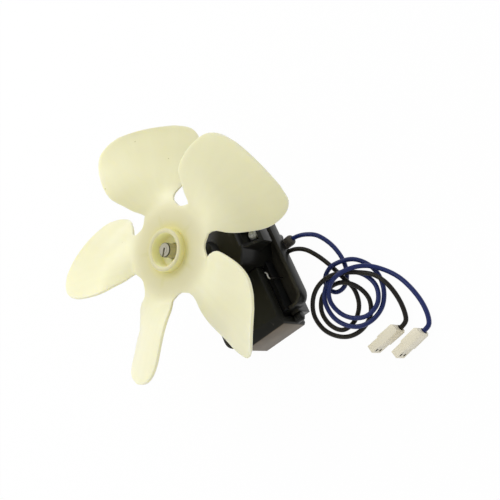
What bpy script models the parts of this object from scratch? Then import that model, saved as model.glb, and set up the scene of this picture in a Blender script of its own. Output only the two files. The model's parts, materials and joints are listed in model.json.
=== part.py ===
"""Small vent and refrigerator fan motor: a five-bladed plastic fan on a shaded-pole motor.

The motor stands on its flat back. The origin is on the shaft's axis in the plane of that back,
+Z runs along the shaft to the fan, and +X runs from the shaft to the coil. Two leads come out
of the motor's +Y side, lie coiled on the surface that the back stands on and end in white
connectors.
"""

import math

import bmesh
import bpy
from mathutils import Matrix, Vector

MM = 0.001

# Fits between pieces
GAP = 0.3 * MM
RUNNING_CLEARANCE = 0.1 * MM
AIR_GAP = 0.5 * MM

# Shaft and rotor
SHAFT_RADIUS = 1.5 * MM
SHAFT_LOW = 1.2 * MM
ROTOR_RADIUS = 9.0 * MM
CAGE_RING_THICKNESS = 1.1 * MM
CAGE_RING_WIDTH = 3.2 * MM
CAGE_RING_INSET = 0.4 * MM
CAGE_BAR_RADIUS = 0.55 * MM
CAGE_BARS = 10
WASHER_RADIUS = 3.0 * MM
WASHER_THICKNESS = 0.5 * MM
BEARING_WALL = 2.0 * MM
FRONT_BEARING_LENGTH = 6.0 * MM
REAR_BEARING_LENGTH = 2.8 * MM
FELT_THICKNESS = 1.7 * MM
RETAINER_THICKNESS = 0.8 * MM

# Laminated stator
STACK_LOW = 5.9 * MM
STACK_THICKNESS = 7.6 * MM
YOKE_SHOULDER = 1.7 * MM
LEG_HALF_WIDTH = 14.6 * MM
LEG_WIDTH = 6.2 * MM
LEG_END = 34.0 * MM
WINDOW_START = 14.0 * MM
BRIDGE_SLOT = 1.2 * MM
BRIDGE_SLOT_START = 10.8 * MM
CORE_BAR_WIDTH = 6.2 * MM
RIVET_RADIUS = 1.0 * MM
RIVET_HEAD_RADIUS = 1.7 * MM
RIVET_HEAD_HEIGHT = 1.0 * MM
RIVET_EDGE_DISTANCE = 2.5 * MM
RIVET_ANGLES = (57.0, 143.0, 217.0, 303.0)
SHADING_WIRE_RADIUS = 0.6 * MM
SHADING_BACKING = 2.1 * MM
SHADING_ANGLES = ((78.0, 108.0), (258.0, 288.0))

# Coil
BOBBIN_WALL = 0.8 * MM
FLANGE_HALF_SIZE_X = 7.0 * MM
FLANGE_LOW = 2.1 * MM
FLANGE_HIGH = 16.9 * MM
FLANGE_CHAMFER = 2.4 * MM
WINDING_INSET = 0.6 * MM
WINDING_CORNER = 2.6 * MM
BOBBIN_END_INSET = 0.1 * MM
WINDING_HOLE_CORNER = 0.4 * MM

# Rear housing: a shallow box for the stack with a rimmed tray round it
BOX_WALL = 1.6 * MM
BOX_FLOOR = 1.8 * MM
BOX_END = 36.0 * MM
BOX_HEIGHT = 6.3 * MM
STACK_LEDGE = 1.5 * MM
TRAY_HEAD = 23.0 * MM
TRAY_FOOT = 34.6 * MM
TRAY_CORNER = 5.5 * MM
TRAY_FLOOR = 2.0 * MM
TRAY_RIM_HEIGHT = 5.4 * MM
TRAY_WALL = 1.6 * MM
LUG_RADIUS = 2.2 * MM
LUG_LENGTH = 3.4 * MM
LUG_REACH = 3.7 * MM
LUG_DROP = 0.3 * MM
LUG_RIBS = 2
LUG_SIDES = 10
LUG_RIB_DEPTH = 0.3 * MM
LUG_EDGE = 0.7 * MM
COLUMN_DROP = 1.4 * MM
REAR_POCKET_LOW = 0.8 * MM

# Front bracket: a dome over the rotor with an ear and a screw on each side
DOME_TOP = 30.0 * MM
DOME_WALL = 1.5 * MM
DOME_TOP_WALL = 1.8 * MM
DOME_EDGE_RADIUS = 1.0 * MM
DOME_FLAT = 12.4 * MM
DOME_STEP = 0.8 * MM
NOSE_RADIUS = 6.4 * MM
NOSE_TOP = 34.0 * MM
NOSE_LOW = 16.5 * MM
NOSE_TAPER = 0.8 * MM
EAR_SCREW_OFFSET = 0.8 * MM
EAR_TOP = 19.3 * MM
EAR_THICKNESS = 2.0 * MM
EAR_HALF_WIDTH = 6.7 * MM
EAR_OVERHANG = 1.3 * MM
FAR_EAR_EDGE = 0.4 * MM
FAR_EAR_WALL_TOP = 20.3 * MM
EAR_WALL = 1.4 * MM
EAR_WALL_TOP = 23.0 * MM
COLUMN_RADIUS = 2.1 * MM
SCREW_RADIUS = 1.3 * MM
SCREW_HEAD_RADIUS = 2.4 * MM
POCKET_BACKING = 1.4 * MM
SCREW_HEAD_HEIGHT = 1.8 * MM
SCREW_HEAD_EDGE = 0.7 * MM
SCREW_TIP_RADIUS = 0.3 * MM
SCREW_LOW = 2.4 * MM
CROSS_SLOT_WIDTH = 0.8 * MM
CROSS_SLOT_DEPTH = 0.7 * MM

# Coil cover
COVER_INSET = 2.1 * MM
COVER_WALL = 1.6 * MM
COVER_TOP = 19.0 * MM
COVER_END = 39.7 * MM
COVER_CHAMFER = 3.5 * MM
COVER_CORNER = 0.9 * MM
CLIP_WIRE_RADIUS = 0.45 * MM
CLIP_POSITION = 19.2 * MM
CLIP_SPREAD = 1.2 * MM
# Bends of the clip over the stack's edge in mm: back along the leg, inward, down from the top
CLIP_BENDS = ((0.0, -0.6, 1.6), (0.1, 0.3, 0.1), (0.7, 1.2, -0.2), (3.0, 1.3, -0.2), (4.0, 2.0, -0.2))
CLIP_SAMPLES = 14

# Fan
FAN_RADIUS = 55.0 * MM
BLADES = 5
FAN_SET_ANGLE = math.radians(138.9)
SHEET_THICKNESS = 1.2 * MM
FAN_DISC_Z = 54.5 * MM
NOTCH_DIP = 2.2 * MM
HUB_RADIUS = 9.1 * MM
HUB_WALL = 2.3 * MM
HUB_LIP = 0.4 * MM
HUB_FRONT = 58.1 * MM
CUP_FLOOR_Z = 52.0 * MM
CUP_FLOOR_THICKNESS = 1.6 * MM
HUB_BACK = 47.0 * MM
HUB_BOSS_RADIUS = 5.0 * MM
HUB_BOSS_BACK = 42.2 * MM
FAN_RIB_REACH = 17.5 * MM
FAN_RIB_THICKNESS = 1.2 * MM
FAN_RIB_ANGLE = math.radians(34.0)
FAN_RIB_FOOT = 1.0 * MM
SLEEVE_RADIUS = 3.0 * MM
SLEEVE_LENGTH = 14.4 * MM
SLEEVE_STAND_OUT = 5.5 * MM
SLEEVE_SLOT = 0.8 * MM
SLEEVE_SLOT_ANGLE = math.radians(-44.5)
SHAFT_STAND_OUT = 0.3 * MM
SHAFT_SLOT_DEPTH = 0.9 * MM

# Leads, grommet and connectors
LEAD_RADIUS = 1.0 * MM
LEAD_START_DEPTH = 3.8 * MM
GROMMET_X = 5.0 * MM
GROMMET_RADIUS = 2.4 * MM
GROMMET_NECK_RADIUS = 1.75 * MM
GROMMET_REACH = 8.3 * MM
GROMMET_ROUNDING = 1.3 * MM
LEAD_HOLE_X = 8.8 * MM
LEAD_HOLE_DROP = 2.5 * MM
CONNECTOR_LENGTH = 14.5 * MM
CONNECTOR_WIDTH = 4.0 * MM
CONNECTOR_HEIGHT = 6.8 * MM
CONNECTOR_NOSE_LENGTH = 6.0 * MM
CONNECTOR_NOSE_INSET = 0.35 * MM
CONNECTOR_CORNER = 0.7 * MM
CONNECTOR_WAYS = (2.0 * MM, 4.9 * MM)
CONNECTOR_WAY_SIZE = 1.9 * MM
CONNECTOR_BORE_DEPTH = 3.0 * MM
TERMINAL_LENGTH = 8.0 * MM
TERMINAL_WALL = 0.3 * MM

# Sizes that follow from those above
STACK_TOP = STACK_LOW + STACK_THICKNESS
BORE_RADIUS = ROTOR_RADIUS + AIR_GAP
YOKE_RADIUS = LEG_HALF_WIDTH + YOKE_SHOULDER
RIVET_CIRCLE = YOKE_RADIUS - RIVET_EDGE_DISTANCE
SHADING_CIRCLE = BORE_RADIUS + SHADING_BACKING
WINDOW_HALF_WIDTH = LEG_HALF_WIDTH - LEG_WIDTH
CORE_BAR_HALF_LENGTH = WINDOW_HALF_WIDTH - GAP
CORE_BAR_X = LEG_END - GAP - CORE_BAR_WIDTH / 2
BUSH_RADIUS = SHAFT_RADIUS + RUNNING_CLEARANCE + BEARING_WALL
POCKET_RADIUS = BUSH_RADIUS + GAP
BOX_CLEARANCE = GAP + 0.1 * MM
BOX_YOKE_RADIUS = YOKE_RADIUS + BOX_CLEARANCE + BOX_WALL
BOX_LEG_HALF_WIDTH = LEG_HALF_WIDTH + BOX_CLEARANCE + BOX_WALL
TRAY_TOP = BOX_HEIGHT + TRAY_RIM_HEIGHT
TRAY_FLOOR_TOP = BOX_HEIGHT + TRAY_FLOOR
DOME_RADIUS = BOX_YOKE_RADIUS - 0.1 * MM
DOME_INNER_RADIUS = DOME_RADIUS - DOME_WALL
DOME_LOW = TRAY_FLOOR_TOP + GAP
EAR_SCREW_DISTANCE = DOME_RADIUS + EAR_SCREW_OFFSET
TRAY_HALF_WIDTH = EAR_SCREW_DISTANCE + COLUMN_RADIUS + GAP + TRAY_WALL
EAR_END = TRAY_HALF_WIDTH + EAR_OVERHANG
FAR_EAR_END = EAR_SCREW_DISTANCE + COLUMN_RADIUS + FAR_EAR_EDGE
NOSE_POCKET_TOP = NOSE_LOW + RETAINER_THICKNESS + FRONT_BEARING_LENGTH + FELT_THICKNESS + 4 * GAP
COVER_HALF_WIDTH = LEG_HALF_WIDTH - COVER_INSET
GROMMET_Z = BOX_HEIGHT - GAP - GROMMET_RADIUS
LEAD_HOLE_Z = BOX_HEIGHT - LEAD_HOLE_DROP
GROMMET_END = BOX_YOKE_RADIUS + GROMMET_REACH
BLACK_STRAIGHT_END = BOX_YOKE_RADIUS + LEAD_START_DEPTH
COVER_START = DOME_FLAT + GAP
COVER_LOW = STACK_TOP + GAP
COVER_FOOT_START = BOX_END + GAP
HUB_BORE_RADIUS = SLEEVE_RADIUS + GAP
SLEEVE_TOP = CUP_FLOOR_Z + SLEEVE_STAND_OUT
SHAFT_TOP = SLEEVE_TOP + SHAFT_STAND_OUT

TURNED_SIDES = 36
SMALL_SIDES = 16


def clear_scene():
    """Remove whatever the new file holds."""
    for scene_object in list(bpy.data.objects):
        bpy.data.objects.remove(scene_object, do_unlink=True)


# Materials

MATERIAL_LOOKS = {
    "natural_plastic": ((0.86, 0.83, 0.62), 0.38, 0.0),
    "black_plastic": ((0.035, 0.034, 0.032), 0.45, 0.0),
    "zinc_steel": ((0.72, 0.72, 0.70), 0.3, 1.0),
    "shaft_steel": ((0.42, 0.41, 0.37), 0.35, 1.0),
    "core_steel": ((0.20, 0.20, 0.21), 0.5, 0.8),
    "cast_aluminium": ((0.70, 0.70, 0.71), 0.4, 1.0),
    "sintered_bronze": ((0.50, 0.34, 0.16), 0.55, 0.9),
    "copper": ((0.75, 0.36, 0.18), 0.35, 1.0),
    "felt": ((0.80, 0.78, 0.70), 0.95, 0.0),
    "bobbin_nylon": ((0.80, 0.78, 0.72), 0.5, 0.0),
    "winding_tape": ((0.10, 0.09, 0.08), 0.6, 0.0),
    "blue_pvc": ((0.06, 0.09, 0.38), 0.4, 0.0),
    "black_pvc": ((0.04, 0.035, 0.03), 0.45, 0.0),
    "white_nylon": ((0.88, 0.85, 0.78), 0.45, 0.0),
    "tinned_brass": ((0.75, 0.70, 0.58), 0.3, 1.0),
}


def material(name):
    """Return the named material, made the first time it is asked for."""
    made = bpy.data.materials.get(name)
    if made is None:
        colour, roughness, metallic = MATERIAL_LOOKS[name]
        made = bpy.data.materials.new(name)
        made.use_nodes = True
        shader = made.node_tree.nodes["Principled BSDF"]
        shader.inputs["Base Color"].default_value = (*colour, 1.0)
        shader.inputs["Roughness"].default_value = roughness
        shader.inputs["Metallic"].default_value = metallic
    return made


# Modelling helpers

def add_object(name, shape, material_name=None, smooth_angle=None):
    """Link a bmesh to the scene as an object and free it."""
    bmesh.ops.recalc_face_normals(shape, faces=shape.faces)
    mesh = bpy.data.meshes.new(name)
    shape.to_mesh(mesh)
    shape.free()
    if smooth_angle is not None:
        mesh.shade_smooth()
        mesh.set_sharp_from_angle(angle=smooth_angle)
    made = bpy.data.objects.new(name, mesh)
    bpy.context.scene.collection.objects.link(made)
    if material_name is not None:
        mesh.materials.append(material(material_name))
    return made


def turned_shape(profile, sides=TURNED_SIDES):
    """A profile of (radius, z) points turned round the Z axis, closed into one body."""
    shape = bmesh.new()
    corners = [shape.verts.new((radius, 0.0, z)) for radius, z in profile]
    closed = all(radius > 0.0 for radius, _ in profile)
    edges = [shape.edges.new(pair) for pair in zip(corners, corners[1:])]
    if closed:
        edges.append(shape.edges.new((corners[-1], corners[0])))
    bmesh.ops.spin(
        shape, geom=corners + edges, cent=(0, 0, 0), axis=(0, 0, 1),
        angle=2 * math.pi, steps=sides, use_merge=True, use_duplicate=False)
    bmesh.ops.remove_doubles(shape, verts=shape.verts, dist=0.001 * MM)
    bmesh.ops.dissolve_degenerate(shape, edges=shape.edges, dist=0.001 * MM)
    return shape


def turned(name, profile, material_name, sides=TURNED_SIDES):
    """A turned object, shaded smooth between its sharp corners."""
    return add_object(name, turned_shape(profile, sides), material_name, math.radians(35))


def prism_shape(outline, low, high):
    """A flat outline of (x, y) points extruded from z=low to z=high."""
    shape = bmesh.new()
    corners = [shape.verts.new((x, y, low)) for x, y in outline]
    base = shape.faces.new(corners)
    raised = bmesh.ops.extrude_face_region(shape, geom=[base])
    tops = [item for item in raised["geom"] if isinstance(item, bmesh.types.BMVert)]
    bmesh.ops.translate(shape, verts=tops, vec=(0, 0, high - low))
    return shape


def box_shape(low, high):
    """A box between two corners."""
    outline = [(low[0], low[1]), (high[0], low[1]), (high[0], high[1]), (low[0], high[1])]
    return prism_shape(outline, low[2], high[2])


def cylinder_shape(centre, radius, low, high, sides=SMALL_SIDES):
    """An upright cylinder."""
    outline = arc(centre, radius, 0.0, 360.0, sides)[:-1]
    return prism_shape(outline, low, high)


def combine(target, shape, operation):
    """Join a shape to the object, or cut it from it, with an exact Boolean."""
    tool = add_object("tool", shape)
    modifier = target.modifiers.new("step", "BOOLEAN")
    modifier.operation = operation
    modifier.solver = "EXACT"
    modifier.object = tool
    bpy.context.view_layer.update()
    evaluated = target.evaluated_get(bpy.context.evaluated_depsgraph_get())
    finished = bpy.data.meshes.new_from_object(evaluated)
    target.modifiers.clear()
    target.data = finished
    bpy.data.objects.remove(tool, do_unlink=True)
    weld = bmesh.new()
    weld.from_mesh(finished)
    bmesh.ops.remove_doubles(weld, verts=weld.verts, dist=0.001 * MM)
    bmesh.ops.dissolve_degenerate(weld, edges=weld.edges, dist=0.001 * MM)
    weld.to_mesh(finished)
    weld.free()
    return target


def add_to(target, shape):
    """Join a shape to the object."""
    return combine(target, shape, "UNION")


def cut_from(target, shape):
    """Cut a shape from the object."""
    return combine(target, shape, "DIFFERENCE")


def keep_inside(target, shape):
    """Keep only what of the object lies inside a shape."""
    return combine(target, shape, "INTERSECT")


def smooth(target, degrees=35):
    """Shade round faces smooth and keep the corners sharp."""
    target.data.shade_smooth()
    target.data.set_sharp_from_angle(angle=math.radians(degrees))
    return target


def turn_shape(shape, matrix):
    """Place a shape with a matrix before it is used."""
    bmesh.ops.transform(shape, matrix=matrix, verts=shape.verts)
    return shape


# Plane outlines

def arc(centre, radius, start, end, steps):
    """Points on an arc, angles in degrees."""
    points = []
    for step in range(steps + 1):
        angle = math.radians(start + (end - start) * step / steps)
        points.append((centre[0] + radius * math.cos(angle), centre[1] + radius * math.sin(angle)))
    return points


def rounded_rectangle(low, high, radius, steps=6):
    """The outline of a rectangle with round corners."""
    centres = [
        (high[0] - radius, high[1] - radius, 0.0),
        (low[0] + radius, high[1] - radius, 90.0),
        (low[0] + radius, low[1] + radius, 180.0),
        (high[0] - radius, low[1] + radius, 270.0),
    ]
    points = []
    for x, y, start in centres:
        points += arc((x, y), radius, start, start + 90.0, steps)
    return points


def chamfered_rectangle(low, high, chamfer):
    """The outline of a rectangle with its corners cut off."""
    return rounded_rectangle(low, high, chamfer, 1)


def keyhole(radius, half_width, end, steps=40):
    """A circle round the shaft run out to x=end between two straight sides."""
    meet = math.degrees(math.asin(half_width / radius))
    points = arc((0.0, 0.0), radius, meet, 360.0 - meet, steps)
    return points + [(end, -half_width), (end, half_width)]


def polar(radius, degrees):
    """The point at a radius and an angle."""
    return (radius * math.cos(math.radians(degrees)), radius * math.sin(math.radians(degrees)))


def smooth_curve(points, samples):
    """Points read from a centripetal Catmull-Rom curve through the given points."""
    knots = [Vector(point) for point in points]
    knots = [2 * knots[0] - knots[1]] + knots + [2 * knots[-1] - knots[-2]]
    dense = []
    for p0, p1, p2, p3 in zip(knots, knots[1:], knots[2:], knots[3:]):
        t0 = 0.0
        t1 = t0 + math.sqrt((p1 - p0).length)
        t2 = t1 + math.sqrt((p2 - p1).length)
        t3 = t2 + math.sqrt((p3 - p2).length)
        for step in range(24):
            t = t1 + (t2 - t1) * step / 24
            a1 = p0 * ((t1 - t) / (t1 - t0)) + p1 * ((t - t0) / (t1 - t0))
            a2 = p1 * ((t2 - t) / (t2 - t1)) + p2 * ((t - t1) / (t2 - t1))
            a3 = p2 * ((t3 - t) / (t3 - t2)) + p3 * ((t - t2) / (t3 - t2))
            b1 = a1 * ((t2 - t) / (t2 - t0)) + a2 * ((t - t0) / (t2 - t0))
            b2 = a2 * ((t3 - t) / (t3 - t1)) + a3 * ((t - t1) / (t3 - t1))
            dense.append(b1 * ((t2 - t) / (t2 - t1)) + b2 * ((t - t1) / (t2 - t1)))
    dense.append(knots[-2])
    return even_points(dense, samples)


def even_points(dense, samples):
    """Read evenly spaced points from a dense line."""
    reach = [0.0]
    for before, after in zip(dense, dense[1:]):
        reach.append(reach[-1] + (after - before).length)
    picked = []
    index = 0
    for sample in range(samples):
        wanted = reach[-1] * sample / (samples - 1)
        while index < len(reach) - 2 and reach[index + 1] < wanted:
            index += 1
        share = (wanted - reach[index]) / (reach[index + 1] - reach[index])
        picked.append(dense[index].lerp(dense[index + 1], min(share, 1.0)))
    return picked


# Fan

# Each blade edge is a smooth line: radius in mm, angle in degrees round the hub, height over the disc in mm
LEADING_EDGE = (
    (21.0, 54.2, 0.1), (22.8, 55.4, 1.2), (25.0, 57.8, 3.3), (28.5, 58.9, 6.2), (33.7, 60.0, 10.0),
    (40.5, 57.2, 11.4), (47.0, 53.6, 11.3), (51.6, 49.6, 10.8), (54.0, 44.2, 9.2), (55.0, 38.5, 6.8))
TRAILING_EDGE = (
    (21.0, 8.2, -0.4), (22.4, 9.8, -0.9), (24.4, 9.3, -1.8), (28.0, 5.8, -4.2), (32.6, 4.3, -7.2),
    (41.0, 5.0, -13.1), (47.0, 7.2, -14.0), (51.2, 9.8, -13.8), (53.8, 12.6, -12.2), (55.0, 18.0, -7.8))
BLADE_CAMBER = 0.39
BLADE_STATIONS = 11
BLADE_STRIPS = 9
NOTCH_STRIPS = 6
DISC_RINGS = 2
ROOT_RADIUS = 8.2 * MM


def edge_line(edge):
    """A blade edge as evenly spaced (radius, angle, height) stations in metres and radians."""
    points = [Vector((r * MM * math.cos(math.radians(a)), r * MM * math.sin(math.radians(a)), h * MM))
              for r, a, h in edge]
    scale = FAN_RADIUS / (edge[-1][0] * MM)
    return [point * scale for point in smooth_curve(points, BLADE_STATIONS)]


def blade_rows():
    """Rows of points across one blade, from the disc to the tip."""
    rows = []
    for lead, trail in zip(edge_line(LEADING_EDGE), edge_line(TRAILING_EDGE)):
        lead_radius, trail_radius = lead.xy.length, trail.xy.length
        lead_angle = math.atan2(lead.y, lead.x)
        trail_angle = math.atan2(trail.y, trail.x)
        row = []
        for strip in range(BLADE_STRIPS + 1):
            across = strip / BLADE_STRIPS
            bow = across + BLADE_CAMBER * across * (1 - across)
            radius = trail_radius + (lead_radius - trail_radius) * across
            angle = trail_angle + (lead_angle - trail_angle) * across
            height = trail.z + (lead.z - trail.z) * bow
            row.append((radius, angle, height))
        rows.append(row)
    return rows


def fan_sheet():
    """The hub's disc and the five blades as one sheet, thickened on both sides."""
    shape = bmesh.new()
    rows = blade_rows()
    root = rows[0]
    sector = 2 * math.pi / BLADES
    notch_start, notch_end = root[-1][1], root[0][1] + sector
    columns = [(radius, angle, height) for radius, angle, height in root[:-1]]
    for strip in range(NOTCH_STRIPS):
        share = strip / NOTCH_STRIPS
        dip = NOTCH_DIP * math.sin(math.pi * share)
        height = root[-1][2] + (root[0][2] - root[-1][2]) * share
        columns.append((root[0][0] - dip, notch_start + (notch_end - notch_start) * share, height))

    def place(radius, angle, height):
        return shape.verts.new((radius * math.cos(angle), radius * math.sin(angle), FAN_DISC_Z + height))

    rings = []
    for ring in range(DISC_RINGS + 1):
        share = ring / DISC_RINGS
        verts = []
        for blade in range(BLADES):
            turn = FAN_SET_ANGLE + sector * blade
            for radius, angle, height in columns:
                reach = ROOT_RADIUS + (radius - ROOT_RADIUS) * share
                verts.append(place(reach, angle + turn, height * share ** 3))
        rings.append(verts)
    for inner, outer in zip(rings, rings[1:]):
        for index in range(len(inner)):
            after = (index + 1) % len(inner)
            shape.faces.new((inner[index], outer[index], outer[after], inner[after]))
    for blade in range(BLADES):
        turn = FAN_SET_ANGLE + sector * blade
        first = blade * len(columns)
        previous = [rings[-1][(first + strip) % len(rings[-1])] for strip in range(BLADE_STRIPS + 1)]
        for row in rows[1:]:
            current = [place(radius, angle + turn, height) for radius, angle, height in row]
            for strip in range(BLADE_STRIPS):
                shape.faces.new((previous[strip], current[strip], current[strip + 1], previous[strip + 1]))
            previous = current
    return shape


def build_fan():
    """The fan: one moulding with a cup-shaped hub, a bored boss behind it and twisted blades."""
    sheet = add_object("fan_blade", fan_sheet(), "natural_plastic")
    thicken = sheet.modifiers.new("thickness", "SOLIDIFY")
    thicken.thickness = SHEET_THICKNESS
    thicken.offset = 0.0
    thicken.use_even_offset = True
    bpy.context.view_layer.update()
    evaluated = sheet.evaluated_get(bpy.context.evaluated_depsgraph_get())
    solid = bpy.data.meshes.new_from_object(evaluated)
    sheet.modifiers.clear()
    sheet.data = solid
    cup_radius = HUB_RADIUS - HUB_WALL
    lip = HUB_LIP
    floor_back = CUP_FLOOR_Z - CUP_FLOOR_THICKNESS
    hub = turned_shape([
        (HUB_RADIUS - lip, HUB_FRONT), (cup_radius + lip, HUB_FRONT), (cup_radius, HUB_FRONT - lip),
        (cup_radius, CUP_FLOOR_Z), (HUB_BORE_RADIUS, CUP_FLOOR_Z), (HUB_BORE_RADIUS, HUB_BOSS_BACK),
        (HUB_BOSS_RADIUS - lip, HUB_BOSS_BACK), (HUB_BOSS_RADIUS, HUB_BOSS_BACK + lip),
        (HUB_BOSS_RADIUS, floor_back), (cup_radius, floor_back),
        (cup_radius, HUB_BACK), (HUB_RADIUS, HUB_BACK), (HUB_RADIUS, HUB_FRONT - lip)])
    add_to(sheet, hub)
    half = FAN_RIB_THICKNESS / 2
    root = HUB_RADIUS - HUB_WALL / 2
    outline = [
        (root, HUB_BACK + FAN_RIB_FOOT), (FAN_RIB_REACH, FAN_DISC_Z - SHEET_THICKNESS),
        (FAN_RIB_REACH, FAN_DISC_Z), (root, FAN_DISC_Z)]
    for blade in range(BLADES):
        turn = FAN_SET_ANGLE + FAN_RIB_ANGLE + 2 * math.pi / BLADES * blade
        rib = prism_shape(outline, -half, half)
        upright = Matrix.Rotation(turn, 4, "Z") @ Matrix.Rotation(math.radians(90), 4, "X")
        add_to(sheet, turn_shape(rib, upright))
    smooth(sheet, 40)
    return sheet


def build_sleeve():
    """The split steel sleeve that grips the shaft inside the fan's boss."""
    inner = SHAFT_RADIUS + GAP
    low = SLEEVE_TOP - SLEEVE_LENGTH
    edge = 0.3 * MM
    sleeve = turned("drive_sleeve", [
        (SLEEVE_RADIUS - edge, SLEEVE_TOP), (SLEEVE_RADIUS, SLEEVE_TOP - edge), (SLEEVE_RADIUS, low),
        (inner, low), (inner, SLEEVE_TOP)], "shaft_steel", SMALL_SIDES)
    half = SLEEVE_SLOT / 2
    slot = box_shape((0.0, -half, low - GAP), (SLEEVE_RADIUS * 2, half, SLEEVE_TOP + GAP))
    cut_from(sleeve, turn_shape(slot, Matrix.Rotation(SLEEVE_SLOT_ANGLE, 4, "Z")))
    return smooth(sleeve)


# Rotor

def build_shaft():
    """The shaft, with a slot from its centre to its edge at the fan's end."""
    edge = 0.25 * MM
    shaft = turned("rotor_shaft", [
        (0.0, SHAFT_TOP), (SHAFT_RADIUS - edge, SHAFT_TOP), (SHAFT_RADIUS, SHAFT_TOP - edge),
        (SHAFT_RADIUS, SHAFT_LOW + edge), (SHAFT_RADIUS - edge, SHAFT_LOW), (0.0, SHAFT_LOW)],
        "shaft_steel", SMALL_SIDES)
    half = SLEEVE_SLOT / 2
    slot = box_shape((-half, -half, SHAFT_TOP - SHAFT_SLOT_DEPTH), (SHAFT_RADIUS * 2, half, SHAFT_TOP + GAP))
    cut_from(shaft, turn_shape(slot, Matrix.Rotation(SLEEVE_SLOT_ANGLE, 4, "Z")))
    return smooth(shaft)


def cage_bar_places():
    """Where the cage's bars pass through the rotor."""
    circle = ROTOR_RADIUS - CAGE_RING_INSET - CAGE_RING_WIDTH / 2
    return [polar(circle, 360.0 * bar / CAGE_BARS) for bar in range(CAGE_BARS)]


def build_rotor():
    """The rotor's laminated core and the cast cage of bars and end rings."""
    bore = SHAFT_RADIUS + GAP
    core = turned("rotor_core", [
        (ROTOR_RADIUS, STACK_TOP), (ROTOR_RADIUS, STACK_LOW), (bore, STACK_LOW), (bore, STACK_TOP)],
        "core_steel")
    for place in cage_bar_places():
        cut_from(core, cylinder_shape(place, CAGE_BAR_RADIUS + GAP, STACK_LOW - GAP, STACK_TOP + GAP, 8))
    smooth(core)
    outer = ROTOR_RADIUS - CAGE_RING_INSET
    inner = outer - CAGE_RING_WIDTH
    rings = (
        (STACK_LOW - GAP - CAGE_RING_THICKNESS, STACK_LOW - GAP),
        (STACK_TOP + GAP, STACK_TOP + GAP + CAGE_RING_THICKNESS))
    low, high = rings[0]
    cage = turned("rotor_cage", [(outer, high), (outer, low), (inner, low), (inner, high)], "cast_aluminium")
    for place in cage_bar_places():
        add_to(cage, cylinder_shape(place, CAGE_BAR_RADIUS, high - GAP, rings[1][0] + GAP, 8))
    low, high = rings[1]
    add_to(cage, turned_shape([(outer, high), (outer, low), (inner, low), (inner, high)]))
    smooth(cage)
    return core, cage


def washer(name, low, material_name="zinc_steel"):
    """A thrust washer on the shaft."""
    bore = SHAFT_RADIUS + GAP
    return turned(name, [(WASHER_RADIUS, low + WASHER_THICKNESS), (WASHER_RADIUS, low), (bore, low),
                         (bore, low + WASHER_THICKNESS)], material_name, SMALL_SIDES)


def bush(name, low, length):
    """A sintered bush that the shaft runs in."""
    bore = SHAFT_RADIUS + RUNNING_CLEARANCE
    edge = 0.3 * MM
    return turned(name, [
        (BUSH_RADIUS - edge, low + length), (BUSH_RADIUS, low + length - edge), (BUSH_RADIUS, low + edge),
        (BUSH_RADIUS - edge, low), (bore, low), (bore, low + length)], "sintered_bronze", SMALL_SIDES)


def build_bearings():
    """Both bushes, the oil felt, its retainer and the two thrust washers."""
    rear_low = REAR_POCKET_LOW + GAP
    bush("rear_bearing", rear_low, REAR_BEARING_LENGTH)
    washer("rear_thrust_washer", rear_low + REAR_BEARING_LENGTH + GAP)
    retainer_low = NOSE_LOW + GAP
    bush_low = retainer_low + RETAINER_THICKNESS + GAP
    felt_low = bush_low + FRONT_BEARING_LENGTH + GAP
    bore = SHAFT_RADIUS + GAP
    bush("front_bearing", bush_low, FRONT_BEARING_LENGTH)
    turned("bearing_retainer", [
        (BUSH_RADIUS, retainer_low + RETAINER_THICKNESS), (BUSH_RADIUS, retainer_low), (bore, retainer_low),
        (bore, retainer_low + RETAINER_THICKNESS)], "zinc_steel", SMALL_SIDES)
    turned("oil_felt", [
        (BUSH_RADIUS, felt_low + FELT_THICKNESS), (BUSH_RADIUS, felt_low), (bore, felt_low),
        (bore, felt_low + FELT_THICKNESS)], "felt", SMALL_SIDES)
    washer("front_thrust_washer", NOSE_LOW - GAP - WASHER_THICKNESS)


# Stator

def build_stack():
    """The C-shaped stack of laminations, with its bore, window and rivet holes."""
    stack = add_object("stator_stack", prism_shape(
        keyhole(YOKE_RADIUS, LEG_HALF_WIDTH, LEG_END), STACK_LOW, STACK_TOP), "core_steel")
    below, above = STACK_LOW - GAP, STACK_TOP + GAP
    cut_from(stack, cylinder_shape((0.0, 0.0), BORE_RADIUS, below, above, TURNED_SIDES))
    window = WINDOW_HALF_WIDTH
    cut_from(stack, box_shape((WINDOW_START, -window, below), (LEG_END + GAP, window, above)))
    half_slot = BRIDGE_SLOT / 2
    cut_from(stack, box_shape((BRIDGE_SLOT_START, -half_slot, below), (WINDOW_START + GAP, half_slot, above)))
    for angle in RIVET_ANGLES:
        cut_from(stack, cylinder_shape(polar(RIVET_CIRCLE, angle), RIVET_RADIUS + GAP, below, above, 12))
    for pair in SHADING_ANGLES:
        for angle in pair:
            cut_from(stack, cylinder_shape(
                polar(SHADING_CIRCLE, angle), SHADING_WIRE_RADIUS + GAP, below, above, 10))
    return smooth(stack)


def build_rivets():
    """Four rivets that clamp the laminations."""
    low, high = STACK_LOW - GAP, STACK_TOP + GAP
    crown = RIVET_HEAD_RADIUS * 0.7
    profile = [
        (0.0, high + RIVET_HEAD_HEIGHT), (crown, high + RIVET_HEAD_HEIGHT), (RIVET_HEAD_RADIUS, high),
        (RIVET_RADIUS, high), (RIVET_RADIUS, low), (RIVET_HEAD_RADIUS, low),
        (crown, low - RIVET_HEAD_HEIGHT), (0.0, low - RIVET_HEAD_HEIGHT)]
    for number, angle in enumerate(RIVET_ANGLES, 1):
        rivet = turned(f"stack_rivet_{number}", profile, "zinc_steel", 12)
        rivet.location = (*polar(RIVET_CIRCLE, angle), 0.0)


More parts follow.
